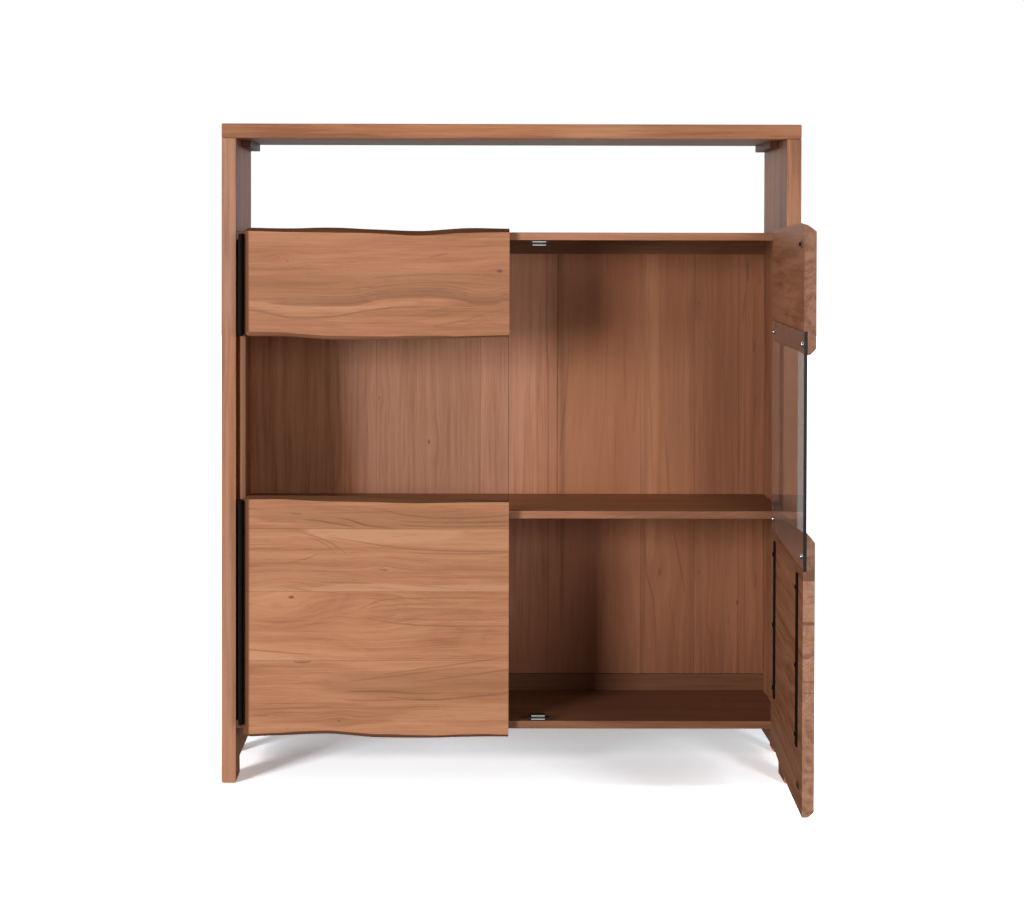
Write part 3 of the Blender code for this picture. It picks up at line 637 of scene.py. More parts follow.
back_joints = (-0.29, -0.06, 0.297, 0.416, 0.514)
back_knots = (
    (0.779, -0.284, 0.004, 0.5), (0.682, -0.174, 0.005, 0.7), (0.393, 0.340, 0.010, 0.45),
    (0.393, 0.426, 0.005, 0.5), (0.325, 0.513, 0.006, 0.8), (0.990, 0.424, 0.005, 0.6))
back_streaks = (
    # Painted light: a pale tint over the middle of the panel, where the lamps reach it.
    ((0.6, 0.32, 0.23, 1.0), 0.36, ((0.3, -0.13), (1.75, -0.13)), (0.25, 0.25, 0.16, 0.08)),
    *dark_lines(
        # Painted shade, partly darker wood: broad dark bands over the right, where the open right door keeps
        # light off.
        (0.24, ((-2.0, 0.62), (3.5, 0.62)), 0.3, 0.53, 0.003, 0.06),
        (0.32, ((-2.0, 0.62), (3.5, 0.62)), 0.3, 0.33, 0.003, 0.18),
        (0.32, ((0.5, 0.62), (1.75, 0.62)), 0.3, 0.34, 0.003, 0.16)),
    # Painted shade: the panel darker towards its bottom, over the floor board.
    cross_band(SHADE_BROWN, 0.4, 0.17, 0.06, 0.2, 0.22),
    (SAPWOOD_AND_LIGHT, 0.2, ((0.4, 0.317), (0.9, 0.314), (1.4, 0.32)), (0.022, 0.018, 0.01)),
    *dark_lines(
        (0.42, ((0.2, 0.119), (0.75, 0.123), (1.0, 0.118), (1.6, 0.121)), 0.006, 0.006, 0.009, 0.007),
        (0.3, ((0.2, 0.303), (0.75, 0.306), (1.0, 0.302), (1.6, 0.305)), 0.005, 0.005, 0.008, 0.008),
        (0.22, ((-0.3, 0.455), (0.8, 0.45), (1.8, 0.458)), 0.055, 0.05, 0.012, 0.035),
        (0.5, ((0.1, 0.089), (0.75, 0.091), (0.95, 0.087), (1.35, 0.089))),
        (0.75, ((0.4, 0.111), (1.45, 0.1115)), 0.0018),
        (0.55, ((0.64, 0.116), (0.72, 0.123), (0.79, 0.13), (0.9, 0.137))),
        (0.3, ((0.5, 0.324), (0.743, 0.319), (0.883, 0.312), (1.12, 0.321))),
        (0.3, ((0.7, 0.28), (0.83, 0.289))),
        (0.5, ((0.56, 0.36), (0.64, 0.355), (0.72, 0.35))),
        (0.5, ((0.887, 0.451), (0.9, 0.449), (0.92, 0.437)), 0.003),
        (0.45, ((0.12, 0.331), (0.311, 0.328), (0.395, 0.31), (0.48, 0.305)), 0.002),
        (0.5, ((0.34, 0.398), (0.414, 0.384), (0.49, 0.369)), 0.002),
        (0.35, ((0.15, 0.384), (0.255, 0.373), (0.34, 0.36))),
        (0.45, ((0.15, 0.468), (0.227, 0.459), (0.29, 0.438))),
        (0.55, ((1.035, 0.5325), (1.09, 0.5335)), 0.0025, 0.0025),
        (0.55, ((1.03, 0.559), (1.058, 0.56)), 0.0025, 0.0025),
        (0.5, ((0.945, 0.521), (1.02, 0.527)), 0.003, 0.002),
        (0.85, ((0.88, 0.546), (0.908, 0.549)), 0.003, 0.002),
        (0.45, ((0.735, 0.549), (0.79, 0.551)), 0.003, 0.002),
        (0.4, ((0.355, 0.552), (0.395, 0.553)), 0.003, 0.002),
        (0.35, ((0.0, 0.53), (0.6, 0.528), (1.3, 0.531)), 0.002),
        (0.3, ((0.0, 0.545), (0.6, 0.547), (1.3, 0.543)), 0.002)))
dress(
    timber("back_wood", "ZXY", 4.4, back_joints, tones=toned(1.09, 1.07, 1.09), figure=0.02, rings=48.0,
           knots=back_knots, streaks=back_streaks, shine=0.12, pores=0.08),
    "back_panel")
# Both rails are toned dark as painted shade, the top one standing for the shade under the cabinet top.
dress(
    timber("rail_wood", "XZY", 7.7, centre=1.1, tones=toned(0.46), shine=0.12),
    "back_rail_top", "back_rail_bottom")


# Hinge posts: slim upright strips that stand off the sides by the width of the
# hinge knuckle and carry the doors.
# The posts are toned darker as painted shade in their gap beside the sides.
dress(timber("post_wood", "ZYX", 0.7, tones=toned(0.66, 0.68, 0.62)), "hinge_post_left", "hinge_post_right")


# Door panels: thick boards with the tree's own wandering edge kept at the top and
# the bottom, where they slope back from the outer face. The inner face is
# rebated for the glass, and the end at the hinge is rounded over.
door_t = 0.0215
free_x = 0.0045
hinge_bevel = 0.012
corner_round = 0.007
corner_run = 0.016
square_share = 0.465
bevel_curve = 1.2
top_square = 0.12
under_square = 0.45
slope_curve = 1.25
between_panels = 0.75
length_cuts = 109
thickness_cuts = 9
arris = 0.0011
glass_gap = 0.0003
hinges = {joint["child"]: joint for joint in frame["record"]["behaviour"]["joints"]}
open_angle = math.radians(-hinges["door_right"]["range_deg"][0])
axis_x, axis_y = hinges["door_right"]["pos_m"][:2]
hinge_turn = (
    Matrix.Translation((axis_x, axis_y, 0.0))
    @ Matrix.Rotation(open_angle, 4, "Z")
    @ Matrix.Translation((-axis_x, -axis_y, 0.0)))
inner_y = axis_y + door_t
hinge_edge_x = -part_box("door_left_lower_panel")[0].x
door_w = hinge_edge_x - free_x
glass_low, glass_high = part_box("door_left_glass")
HINGE_END_BROWN = (0.178, 0.068, 0.029, 1.0)
INSIDE, END, TOP_EDGE, UNDER_EDGE, REBATE = range(1, 6)


def along(values, share):
    """A smooth curve through evenly spaced values, read at a share from 0 to 1."""
    last = len(values) - 1
    place = min(max(share, 0.0) * last, last - 1e-6)
    i = int(place)
    t = place - i
    before, here = values[max(i - 1, 0)], values[i]
    there, after = values[i + 1], values[min(i + 2, last)]
    bend = (2 * before - 5 * here + 4 * there - after) * t * t
    turn_in = (3 * here - before - 3 * there + after) * t ** 3
    return (2 * here + (there - before) * t + bend + turn_in) / 2


def settle(piece, door):
    """Swing a piece of the right door open, and leave its place in its mesh."""
    if door == "door_right":
        piece.matrix_world = hinge_turn @ piece.matrix_world
    select_only(piece)
    bpy.ops.object.transform_apply()
    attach(piece, door)


def live_edge_panel(node, side, top_z, top, bottom_z, bottom, ripple):
    """A panel cut from a cube: sliced along its length and thickness, then its edges moved."""
    panel = plain_block(node.replace("_panel", "_board"), (0.0, 0.0, 0.0), (1.0, 1.0, 1.0))
    for axis, cuts in enumerate((length_cuts, thickness_cuts)):
        edit_only(
            panel, "EDGE", lambda edge: abs((edge.verts[0].co - edge.verts[1].co)[axis]) > 0.5)
        bpy.ops.mesh.subdivide(number_cuts=cuts)
    bpy.ops.object.mode_set(mode="OBJECT")
    for vert in panel.data.vertices:
        step, share, is_top = vert.co
        start = hinge_bevel * max(0.0, (share - square_share) / (1.0 - square_share)) ** bevel_curve
        from_hinge = start + step * (door_w - start)
        edge, nominal, sign = (top, top_z, -1.0) if is_top > 0.5 else (bottom, bottom_z, 1.0)
        place = from_hinge / door_w
        square = top_square if is_top > 0.5 else under_square
        slope = max(0.0, (share - square) / (1.0 - square)) ** slope_curve
        wobble = 0.4 * math.sin(21.0 * place + ripple + is_top) + 0.15 * math.sin(53.0 * place + 2.0 * ripple)
        back_z = nominal + (along(edge[0], place) + 0.4 * wobble) * MM
        fall = (along(edge[1], place) + wobble) * MM
        corner = corner_round * max(0.0, 1.0 - from_hinge / corner_run) ** 2
        height = back_z + sign * (slope * fall + corner)
        vert.co = (side * (hinge_edge_x - from_hinge), inner_y - share * door_t, height)
    if side > 0:
        panel.data.flip_normals()
    return panel


def finish_panel(panel, node, door, rebate_low, rebate_high, *woods):
    """Rebate the panel for the glass, ease it, paint its live edges and hang it."""
    cut_away(
        panel,
        (-hinge_edge_x - door_t, inner_y - (glass_high.y - glass_low.y) - glass_gap, rebate_low),
        (hinge_edge_x + door_t, inner_y + door_t, rebate_high))
    round_over(panel, width=arris, segments=3)
    for wood in woods:
        panel.data.materials.append(wood)
    for face in panel.data.polygons:
        if face.normal.y > 0.75:
            face.material_index = INSIDE if face.center.y > inner_y - glass_gap else REBATE
        elif abs(face.center.x) < free_x + 2 * MM:
            face.material_index = END
        elif abs(face.normal.z) > 0.35:
            face.material_index = TOP_EDGE if face.normal.z > 0.0 else UNDER_EDGE
    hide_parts(node)
    settle(panel, door)


def echoes(points, *lines):
    """Thin lines that repeat a curve further up the board, as the growth rings do."""
    return tuple(
        (HEARTWOOD_AND_SHADE, strength, tuple((x, z + lift) for x, z in points), (width, MM))
        for lift, strength, width in lines)


dark_curve = (
    (-0.52, 0.998), (-0.406, 0.994), (-0.343, 0.994), (-0.296, 1.001), (-0.244, 1.009), (-0.185, 1.011),
    (-0.137, 1.009), (-0.098, 1.003), (-0.058, 0.997), (-0.019, 1.003), (0.10, 1.02))
upper_left_figure = (
    *dark_lines((0.28, dark_curve, 0.021, 0.0, 0.024, 0.0015)),
    *echoes(
        dark_curve, (0.004, 0.44, 0.0020), (0.0085, 0.34, 0.0012), (0.013, 0.38, 0.0018),
        (0.019, 0.26, 0.0012), (0.026, 0.28, 0.0016), (0.035, 0.20, 0.0012)),
    *dark_lines(
        (0.34, (
            (-0.65, 1.012), (-0.552, 1.006), (-0.513, 1.0), (-0.454, 0.995), (-0.406, 0.993),
            (-0.343, 0.993), (-0.296, 1.001), (-0.244, 1.009), (-0.185, 1.011), (-0.137, 1.009),
            (-0.098, 1.003), (-0.058, 0.997), (-0.019, 1.003), (0.1, 1.02)), 0.0016, 0.0)),
    (SAPWOOD_AND_LIGHT, 0.34, (
        (-0.7, 1.0), (-0.552, 1.0), (-0.454, 0.99), (-0.343, 0.989), (-0.25, 0.999),
        (-0.17, 1.002)), (0.004, 0.01, 0.003, 0.006)),
    *dark_lines(
        (0.5, (
            (-0.66, 0.992), (-0.551, 0.986), (-0.513, 0.982), (-0.482, 0.975), (-0.434, 0.97),
            (-0.375, 0.972), (-0.335, 0.978), (-0.288, 0.986), (-0.236, 0.991),
            (-0.13, 0.994)), 0.001, 0.0025, 0.003, 0.005),
        (0.25, ((-0.22, 0.95), (-0.118, 0.96), (-0.058, 0.977), (0.04, 1.0))),
        (0.18, ((-0.2, 0.943), (-0.1, 0.952), (-0.04, 0.968), (0.05, 0.985))),
        (0.22, ((-0.62, 1.03), (-0.3, 1.036), (0.06, 1.046)), 0.026, 0.02, 0.03, 0.024),
        (0.32, ((-0.34, 1.028), (-0.25, 1.037), (-0.16, 1.042), (-0.02, 1.034))),
        (0.3, ((-0.3, 1.046), (-0.2, 1.058), (-0.1, 1.06), (0.04, 1.052)), 0.0015, 0.003),
        (0.2, ((-0.56, 1.044), (-0.44, 1.038), (-0.34, 1.047)), 0.006, 0.004),
        (0.18, ((-0.56, 1.066), (-0.46, 1.07), (-0.38, 1.067)), 0.004, 0.003),
        (0.4, ((-0.17, 1.094), (-0.15, 1.099), (-0.13, 1.103)))))
lower_left_figure = (
    (SAPWOOD_AND_LIGHT, 0.42, ((-0.4364, 0.534), (0.44, 0.534)), (0.0, 0.042, 0.003, 0.005)),
    (SAPWOOD_AND_LIGHT, 1.1, ((-0.4364, 0.534), (-0.09, 0.53)), (0.0, 0.028, 0.003, 0.008)),
    (SAPWOOD_AND_LIGHT, 0.5, ((-0.8, 0.4037), (0.3, 0.4037)), (0.009, 0.0, 0.004)),
    (SAPWOOD_AND_LIGHT, 1.05, ((-0.42, 0.4037), (-0.16, 0.4037)), (0.017, 0.0, 0.006)),
    (SAPWOOD_AND_LIGHT, 0.7, ((-0.24, 0.4037), (0.2, 0.4037)), (0.016, 0.0, 0.006)),
    (SAPWOOD_AND_LIGHT, 1.1, ((-0.68, 0.261), (-0.435, 0.261)), (0.017, 0.0, 0.004)),
    *dark_lines(
        (0.26, ((-0.56, 0.566), (-0.25, 0.553), (0.15, 0.556)), 0.02, 0.016, 0.016, 0.008),
        (0.2, ((-0.42, 0.224), (-0.2, 0.214), (0.15, 0.222)), 0.024, 0.034, 0.022, 0.022)),
    (SAPWOOD_AND_LIGHT, 0.35, ((-0.26, 0.14), (-0.08, 0.15), (0.12, 0.158)), (0.02, 0.016, 0.014, 0.014)),
    *dark_lines(
        (0.55, ((-0.43, 0.5525), (-0.413, 0.5518), (-0.367, 0.5455), (-0.315, 0.535))),
        (0.65, ((-0.36, 0.5565), (-0.342, 0.5539), (-0.2915, 0.54), (-0.24, 0.535))),
        (0.45, ((-0.3, 0.577), (-0.266, 0.5728), (-0.207, 0.561), (-0.128, 0.556), (0.03, 0.572))),
        (0.3, ((-0.4, 0.566), (-0.3, 0.568), (-0.2, 0.572))),
        (0.35, ((-0.24, 0.552), (-0.14, 0.548), (0.05, 0.555)), 0.0015, 0.003),
        (0.4, ((-0.24, 0.543), (-0.107, 0.538), (0.04, 0.548)), 0.0015, 0.002),
        (0.45, ((-0.455, 0.566), (-0.43, 0.564)), 0.0015, 0.002),
        (0.45, ((-0.39, 0.519), (-0.359, 0.514), (-0.26, 0.499), (-0.19, 0.491), (0.05, 0.487))),
        (0.4, ((-0.435, 0.527), (-0.384, 0.51), (-0.359, 0.497), (-0.335, 0.475))),
        (0.32, ((-0.42, 0.518), (-0.38, 0.499), (-0.36, 0.478))),
        (0.35, ((-0.22, 0.487), (-0.128, 0.482), (0.04, 0.49))),
        (0.3, ((-0.48, 0.461), (-0.43, 0.47), (-0.395, 0.484))),
        (0.35, ((-0.4, 0.4225), (-0.345, 0.4222), (-0.28, 0.4215))),
        (0.38, ((-0.325, 0.357), (-0.291, 0.377), (-0.253, 0.388), (-0.19, 0.39), (-0.05, 0.392))),
        (0.42, ((-0.325, 0.359), (-0.283, 0.346), (-0.233, 0.338), (-0.149, 0.333), (0.05, 0.335))),
        (0.32, ((-0.3, 0.361), (-0.275, 0.373), (-0.233, 0.377), (-0.1, 0.379))),
        (0.32, ((-0.3, 0.36), (-0.262, 0.35), (-0.19, 0.346), (0.0, 0.348))),
        (0.22, ((-0.27, 0.363), (-0.2, 0.366), (-0.05, 0.364)), 0.004, 0.004),
        (0.4, ((-0.6, 0.288), (-0.485, 0.279), (-0.4, 0.272))),
        (0.6, ((-0.45, 0.259), (-0.43, 0.2575), (-0.41, 0.262)), 0.0015, 0.002),
        (0.35, ((-0.28, 0.229), (-0.191, 0.243), (-0.128, 0.251), (0.0, 0.27))),
        (0.32, ((-0.34, 0.217), (-0.233, 0.23), (-0.15, 0.24))),
        (0.38, ((-0.22, 0.214), (-0.107, 0.228), (0.05, 0.252))),
        (0.6, ((-0.345, 0.1967), (-0.254, 0.1967), (-0.191, 0.1925), (-0.13, 0.199)), 0.002),
        (0.6, ((-0.26, 0.188), (-0.17, 0.18), (-0.107, 0.184), (0.05, 0.204)), 0.0015, 0.002),
        (0.4, ((-0.35, 0.182), (-0.29, 0.178), (-0.23, 0.181))),
        (0.45, ((-0.57, 0.157), (-0.535, 0.159), (-0.443, 0.163), (-0.36, 0.166)), 0.0015, 0.002),
        (0.45, ((-0.53, 0.146), (-0.498, 0.147)), 0.0015, 0.002)))
panels = {
    "door_left_upper_panel": {
        "side": -1, "seed": 12.1, "joints": (),
        "top": (1.153, ((1.5, 0.5, 2, -1.5, -4.5, 1.5, 0.5), (6, 8, 10, 8.5, 9.5, 10, 7))),
        "bottom": (0.927, ((3, 3, -3, -3, -2, 0.5, 2.5), (10, 8.5, 8, 7.5, 7, 5, 4))),
        "centre": 1.05, "level": (0.97, 0.98, 0.95),
        "knots": ((-0.0246, 1.066, 0.0060, 1.0), (-0.480, 1.0926, 0.0025, 0.6), (-0.462, 1.088, 0.003, 0.5)),
        "streaks": upper_left_figure},
    "door_left_lower_panel": {
        "side": -1, "seed": 15.6, "joints": (0.261, 0.4037, 0.534),
        "top": (0.598, ((3.5, 3.5, 3, 2, -1.5, -4, -6), (7.5, 7.5, 11, 11, 10, 5, 3))),
        "bottom": (0.101, ((-1, 2.5, 5, -2, -3, -1, 0), (7, 9, 9, 10, 8, 8, 7))),
        "centre": 0.35, "level": (1.11, 1.17, 1.13),
        "knots": ((-0.4532, 0.392, 0.006, 0.9), (-0.4847, 0.3795, 0.012, 0.15), (-0.290, 0.362, 0.012, 0.0),
                  (-0.3545, 0.1358, 0.004, 0.6), (-0.260, 0.4446, 0.006, 0.4)),
        "streaks": lower_left_figure},
    "door_right_upper_panel": {
        "side": 1, "seed": 18.2, "joints": (),
        "top": (1.153, ((2, 1, 2, 4, 7, 9.5, 6), (8, 8, 9, 10, 11, 12, 13))),
        "bottom": (0.927, ((-3, -3, -2, -2, -1, 0, -2), (9, 9, 10, 10, 11, 12, 12))),
        "centre": 1.02, "level": (1.0, 1.0, 1.0), "knots": ((-0.18, 1.04, 0.006, 0.8),),
        "streaks": (
            *dark_lines((0.35, ((-0.6, 1.0), (-0.38, 1.02), (-0.16, 1.0), (0.06, 1.03)), 0.004)),
            (SAPWOOD_AND_LIGHT, 0.45, ((-0.6, 0.98), (-0.38, 0.99), (-0.16, 0.975), (0.06, 0.99)), (0.012,)))},
    "door_right_lower_panel": {
        "side": 1, "seed": 21.8, "joints": (0.27, 0.38, 0.52),
        "top": (0.598, ((-9, -9, -8, -6, -2, 5, 11), (8, 8, 9, 10, 12, 16, 21))),
        "bottom": (0.101, ((-1, -4, -8, -11, -12, -10, -8), (5, 6, 8, 9, 10, 10, 10))),
        "centre": 0.33, "level": (1.0, 1.0, 1.0), "knots": ((-0.36, 0.31, 0.007, 0.9),),
        "end_knots": (
            (-0.554, 0.443, 0.006, 0.9), (-0.554, 0.338, 0.004, 0.6), (-0.554, 0.322, 0.003, 0.7),
            (-0.554, 0.525, 0.008, 0.5)),
        "streaks": (
            (SAPWOOD_AND_LIGHT, 0.6, ((-0.7, 0.38), (-0.1, 0.38)), (0.0, 0.016, 0.003, 0.005)),
            *dark_lines((0.45, ((-0.55, 0.45), (-0.3, 0.46), (-0.02, 0.45)))))}}

for number, (node, facts) in enumerate(panels.items()):
    door = node[:node.index("_", 5)]
    turn = ((axis_x, axis_y, 0.0), open_angle) if door == "door_right" else None
    same = {"seed": facts["seed"], "joints": facts["joints"], "centre": facts["centre"], "turn": turn,
            "pith": 0.045, "figure": 0.035}
    hinge_place = -hinge_edge_x if door == "door_left" else hinge_edge_x - axis_x
    # The rounded end at the hinge is painted dark brown.
    dark_hinge_end = (
        HINGE_END_BROWN, 2.5, ((-1.0, hinge_place), (2.0, hinge_place)), (0.0135, 0.0135, 0.005, 0.005), "crossing")
    is_upper = "upper" in node
    # The inside face, the live top and under edges and the rebate under the glass get darker copies of the
    # face wood: painted shade, and on the live edges partly the darker wood of the tree's edge.
    woods = (
        timber(node + "_wood", "XZY", tones=toned(*facts["level"]), knots=facts["knots"],
               streaks=(*facts["streaks"], dark_hinge_end), **same),
        timber(node + "_inside", "XZY", tones=toned(0.62 if is_upper else 0.54), knots=facts["knots"],
               shine=0.15, lively=1.7, **same),
        timber(node + "_end", "XZY", tones=toned(0.56, 0.60, 0.68) if is_upper else toned(0.70, 0.80, 0.94),
               uneven=0.5, lively=1.7, knots=facts.get("end_knots", ()), **same),
        timber(node + "_top_edge", "XZY", tones=toned(0.40, 0.37, 0.30), roughness=0.62, **same),
        timber(node + "_under_edge", "XZY", tones=toned(0.68 if is_upper else 0.52), roughness=0.62, **same),
        timber(node + "_rebate", "XZY", tones=toned(0.25, 0.28, 0.33), shine=0.1, **same))
    panel = live_edge_panel(node, facts["side"], *facts["top"], *facts["bottom"], number * 1.7)
    rebate = (glass_low.z - glass_gap, between_panels)
    if is_upper:
        rebate = (between_panels, glass_high.z + glass_gap)
    finish_panel(panel, node, door, *rebate, *woods)


# Glass: clear float panes with ground edges, let flush into the inner faces of the
# panels and held there by four domed screws.
def closed_box(node):
    """Where a node of a door lies with the door shut."""
    low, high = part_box(node.replace("door_right", "door_left"))
    if "door_right" in node:
        return Vector((-high.x, low.y, low.z)), Vector((-low.x, high.y, high.z))
    return low, high


doors = ("door_left", "door_right")
clear_glass, tree, output = bare_material("clear_glass")
pane = put(
    tree, "BsdfPrincipled",
    {"Base Color": (0.92, 0.95, 0.94, 1.0), "Roughness": 0.0, "IOR": 1.5, "Transmission Weight": 1.0})
through = put(tree, "BsdfTransparent", {"Color": (0.95, 0.96, 0.955, 1.0)})
ray = put(tree, "LightPath").outputs
facing = put(tree, "LayerWeight", {"Blend": 0.5}).outputs["Facing"]
square_on = calc(tree, "SUBTRACT", 1.0, smooth_step(tree, facing, 0.35, 0.75))
passing = calc(tree, "MULTIPLY", ray["Is Camera Ray"], square_on)
passing = calc(tree, "MAXIMUM", passing, calc(tree, "MAXIMUM", ray["Is Shadow Ray"], ray["Is Diffuse Ray"]))
pane = put(tree, "MixShader", {0: passing, 1: pane.outputs[0], 2: through.outputs[0]})
# Painted reflection: seen at a slant, the pane takes on a pale veil that stands for the white room reflected
# in it.
reflection_veil = put(tree, "BsdfDiffuse", {"Color": (0.80, 0.86, 0.90, 1.0)})
slant = calc(tree, "MULTIPLY", smooth_step(tree, facing, 0.60, 0.95), 0.035)
pane = put(tree, "MixShader", {0: slant, 1: pane.outputs[0], 2: reflection_veil.outputs[0]})
tree.links.new(pane.outputs[0], output.inputs["Surface"])

ground_glass, tree, output = bare_material("ground_glass_edge")
speck = put(tree, "TexNoise", {"Vector": local_place(tree), "Scale": 400.0})
rough = calc(tree, "MULTIPLY_ADD", speck.outputs["Fac"], 0.3, 0.15)
edge = put(
    tree, "BsdfPrincipled", {"Base Color": (0.022, 0.023, 0.024, 1.0), "Roughness": rough, "IOR": 1.5})
tree.links.new(edge.outputs[0], output.inputs["Surface"])

for door in doors:
    glass = plain_block(door + "_pane", *closed_box(door + "_glass"))
    round_over(glass, width=0.6 * MM, segments=1)
    glass.data.materials.append(clear_glass)
    glass.data.materials.append(ground_glass)
    for face in glass.data.polygons:
        face.material_index = 0 if abs(face.normal.y) > 0.99 else 1
    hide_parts(door + "_glass")
    settle(glass, door)


# Screws: steel, with domed heads and a cross in them, bright ones through the glass,
# black ones in the bars and plates. Each head is turned once and copied to its places.
def metal(name, color, roughness, metallic, speckle, shine=0.5):
    """A finish with fine brushed or sprayed unevenness."""
    material, tree, output = bare_material(name)
    noise = put(tree, "TexNoise", {"Vector": local_place(tree), "Scale": speckle, "Detail": 3.0})
    level = put(tree, "MapRange", {"Value": noise.outputs["Fac"], "To Min": 0.82, "To Max": 1.12})
    gloss = vary(tree, noise.outputs["Fac"], 0.2, roughness)
    bump = put(tree, "Bump", {"Strength": 0.1, "Distance": 0.0002, "Height": noise.outputs["Fac"]})
    surface = put(
        tree, "BsdfPrincipled",
        {"Base Color": shaded(tree, (*color, 1.0), level.outputs[0]), "Roughness": gloss,
         "Metallic": metallic, "Specular IOR Level": shine, "Normal": bump.outputs[0]})
    tree.links.new(surface.outputs[0], output.inputs["Surface"])
    return material


black_steel = metal(
    "black_steel", (0.007, 0.004, 0.003), roughness=0.68, metallic=0.0, speckle=900.0, shine=0.12)
bright_steel = metal("bright_steel", (0.72, 0.71, 0.69), roughness=0.22, metallic=1.0, speckle=500.0)


def turn_head(name, radius, height, material):
    """A domed screw head that stands on y = 0 and looks along y."""
    bpy.ops.object.select_all(action="DESELECT")
    rim = 0.30 * height
    cross_floor = 0.55 * height
    bpy.ops.mesh.primitive_cylinder_add(
        vertices=28, radius=radius, depth=rim, location=(0.0, rim / 2, 0.0),
        rotation=(-math.pi / 2, 0.0, 0.0))
    head = bpy.context.object
    head.name = name
    bpy.ops.object.transform_apply()
    edit_only(head, "FACE", lambda face: face.normal.y > 0.9)
    reached = rim
    for lift, shrink in ((0.32, 0.90), (0.22, 0.80), (0.16, 0.62)):
        reached += lift * height
        bpy.ops.mesh.extrude_region_move(TRANSFORM_OT_translate={"value": (0.0, lift * height, 0.0)})
        bpy.ops.transform.resize(value=(shrink, 1.0, shrink), center_override=(0.0, reached, 0.0))
    bpy.ops.object.mode_set(mode="OBJECT")
    long_arm = 0.52 * radius
    short_arm = 0.12 * radius
    for x, z in ((long_arm, short_arm), (short_arm, long_arm)):
        cut_away(head, (-x, cross_floor, -z), (x, 2.0 * height, z))
    select_only(head)
    bpy.ops.object.shade_smooth_by_angle(angle=math.radians(38.0))
    head.data.materials.append(material)
    return head


def drive(pattern, name, place, door, turn):
    """A copy of a screw head, set at a place on a door and looking along y."""
    head = pattern.copy()
    head.data = pattern.data.copy()
    head.name = name
    scene.collection.objects.link(head)
    head.matrix_world = Matrix.Translation(place) @ Matrix.Rotation(turn, 4, "Y")
    settle(head, door)
    return head


low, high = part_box("door_left_glass_screw_top_free")
bright_head = turn_head(
    "bright_head", (high.x - low.x) / 2, high.y - glass_high.y, bright_steel)
black_radius = 3.8 * MM
black_height = 1.4 * MM
high_radius = 4.8 * MM
high_height = 2.8 * MM
black_head = turn_head("black_head", black_radius, black_height, black_steel)
high_head = turn_head("high_head", high_radius, high_height, black_steel)
for door in doors:
    for number, corner in enumerate(("top_hinge", "top_free", "bottom_hinge", "bottom_free")):
        node = f"{door}_glass_screw_{corner}"
        low, high = closed_box(node)
        place = ((low.x + high.x) / 2, glass_high.y, (low.z + high.z) / 2)
        head = drive(bright_head, node + "_head", place, door, turn=0.4 * number)
        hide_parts(node)


# Flat bars: black steel, laid on the inner face of the lower panel across its boards
# to keep it flat, with three screws in each.
bar_screws = (0.07, 0.47, 0.92)
for door in doors:
    for end in ("bar_hinge", "bar_free"):
        node = f"{door}_{end}"
        low, high = closed_box(node)
        bar = plain_block(node + "_strip", low, high)
        round_over(bar, width=0.8 * MM, segments=3)
        bar.data.materials.append(black_steel)
        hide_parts(node)
        settle(bar, door)
        for number, share in enumerate(bar_screws):
            place = ((low.x + high.x) / 2, high.y, low.z + share * (high.z - low.z))
            screw = drive(high_head, f"{node}_screw_{number + 1}", place, door, turn=0.7 * number + 0.3)


# Strike plates: thin browned plates with round corners, screwed to the inner face of
# the doors where the catches hold them.
bronze = metal(
    "dark_bronze", (0.15, 0.080, 0.052), roughness=0.55, metallic=0.0, speckle=700.0, shine=0.25)
strike_screws = (0.2, 0.8)
for door in doors:
    for level in ("strike_upper", "strike_lower"):
        node = f"{door}_{level}"
        low, high = closed_box(node)
        plate = plain_block(node + "_plate", low, high)
        bevel_where(plate, lambda a, b: abs(a.y - b.y) > MM / 2, radius=4 * MM, segments=5)
        round_over(plate, width=0.3 * MM, segments=2)
        plate.data.materials.append(bronze)
        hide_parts(node)
        settle(plate, door)
        for number, share in enumerate(strike_screws):
            place = (low.x + share * (high.x - low.x), high.y, (low.z + high.z) / 2)
            screw = drive(black_head, f"{node}_screw_{number + 1}", place, door, turn=0.5 + number)
for pattern in (bright_head, black_head, high_head):
    bpy.data.objects.remove(pattern, do_unlink=True)


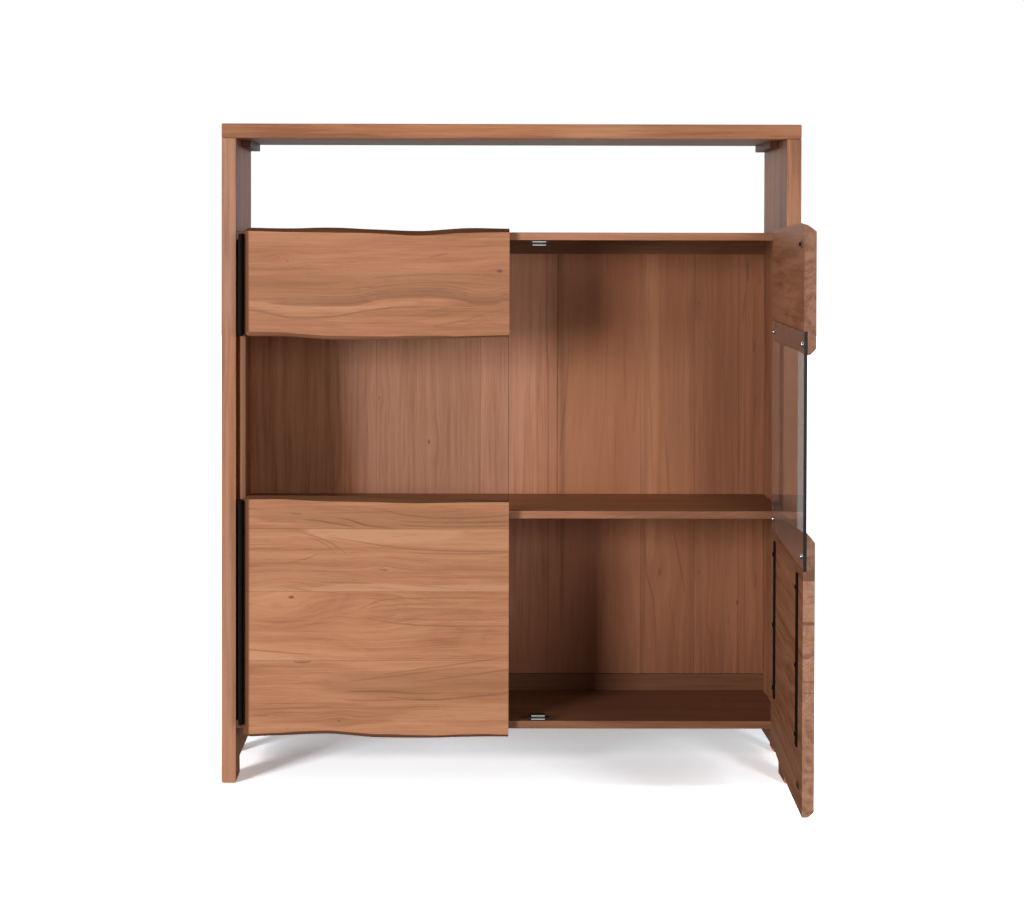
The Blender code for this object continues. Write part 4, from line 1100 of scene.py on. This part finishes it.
# Catches: brown moulded cases under the cabinet top and on the floor board, with an ear
# at each end, and a magnet between two bright steel plates that look out in front.
case_brown = metal(
    "catch_brown", (0.022, 0.012, 0.008), roughness=0.65, metallic=0.0, speckle=700.0, shine=0.25)
zinc_plate = metal("zinc_plate", (0.80, 0.79, 0.77), roughness=0.42, metallic=0.35, speckle=600.0)
ferrite = metal("magnet_black", (0.020, 0.017, 0.016), roughness=0.6, metallic=0.0, speckle=900.0)
ear_length = 0.0085
ear_share = 0.5
plate_t = 0.0018
magnet_back = 0.003
past = 0.01
for word in ("left", "right"):
    for level in ("upper", "lower"):
        node = f"catch_{level}_{word}"
        low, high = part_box(node)
        seat = high.z if level == "upper" else low.z
        case = plain_block(
            node + "_case", (low.x + ear_length, low.y, low.z), (high.x - ear_length, high.y, high.z))
        for side in (-1, 1):
            edit_only(case, "FACE", lambda face: face.normal.x * side > 0.9)
            bpy.ops.mesh.extrude_region_move()
            bpy.ops.transform.resize(value=(1.0, 1.0, ear_share), center_override=(0.0, 0.0, seat))
            bpy.ops.mesh.extrude_region_move(TRANSFORM_OT_translate={"value": (side * ear_length, 0.0, 0.0)})
            bpy.ops.object.mode_set(mode="OBJECT")
        pole_low, pole_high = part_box(node + "_poles")
        cut_away(case, (pole_low.x, low.y - past, pole_low.z), pole_high)
        round_over(case, width=0.7 * MM, segments=2)
        case.data.materials.append(case_brown)
        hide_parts(node)
        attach(case, "cabinet")

        plates = plain_block(node + "_plates", pole_low, pole_high)
        cut_away(
            plates, (low.x, pole_low.y - past, pole_low.z + plate_t),
            (high.x, high.y + past, pole_high.z - plate_t))
        round_over(plates, width=0.3 * MM, segments=2)
        plates.data.materials.append(zinc_plate)
        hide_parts(node + "_poles")
        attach(plates, "cabinet")
        magnet = plain_block(
            node + "_magnet", (pole_low.x, pole_low.y + magnet_back, pole_low.z + plate_t),
            (pole_high.x, pole_high.y, pole_high.z - plate_t))
        round_over(magnet, width=0.3 * MM, segments=1)
        magnet.data.materials.append(ferrite)
        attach(magnet, "cabinet")


# Strip hinges: black steel leaves with rolled knuckles on a pin, one at each wooden
# panel, with one leaf on the post and the other on the end of the door.
for name in nodes:
    if "leaf" in name or "_pin" in name:
        dress(black_steel, name)
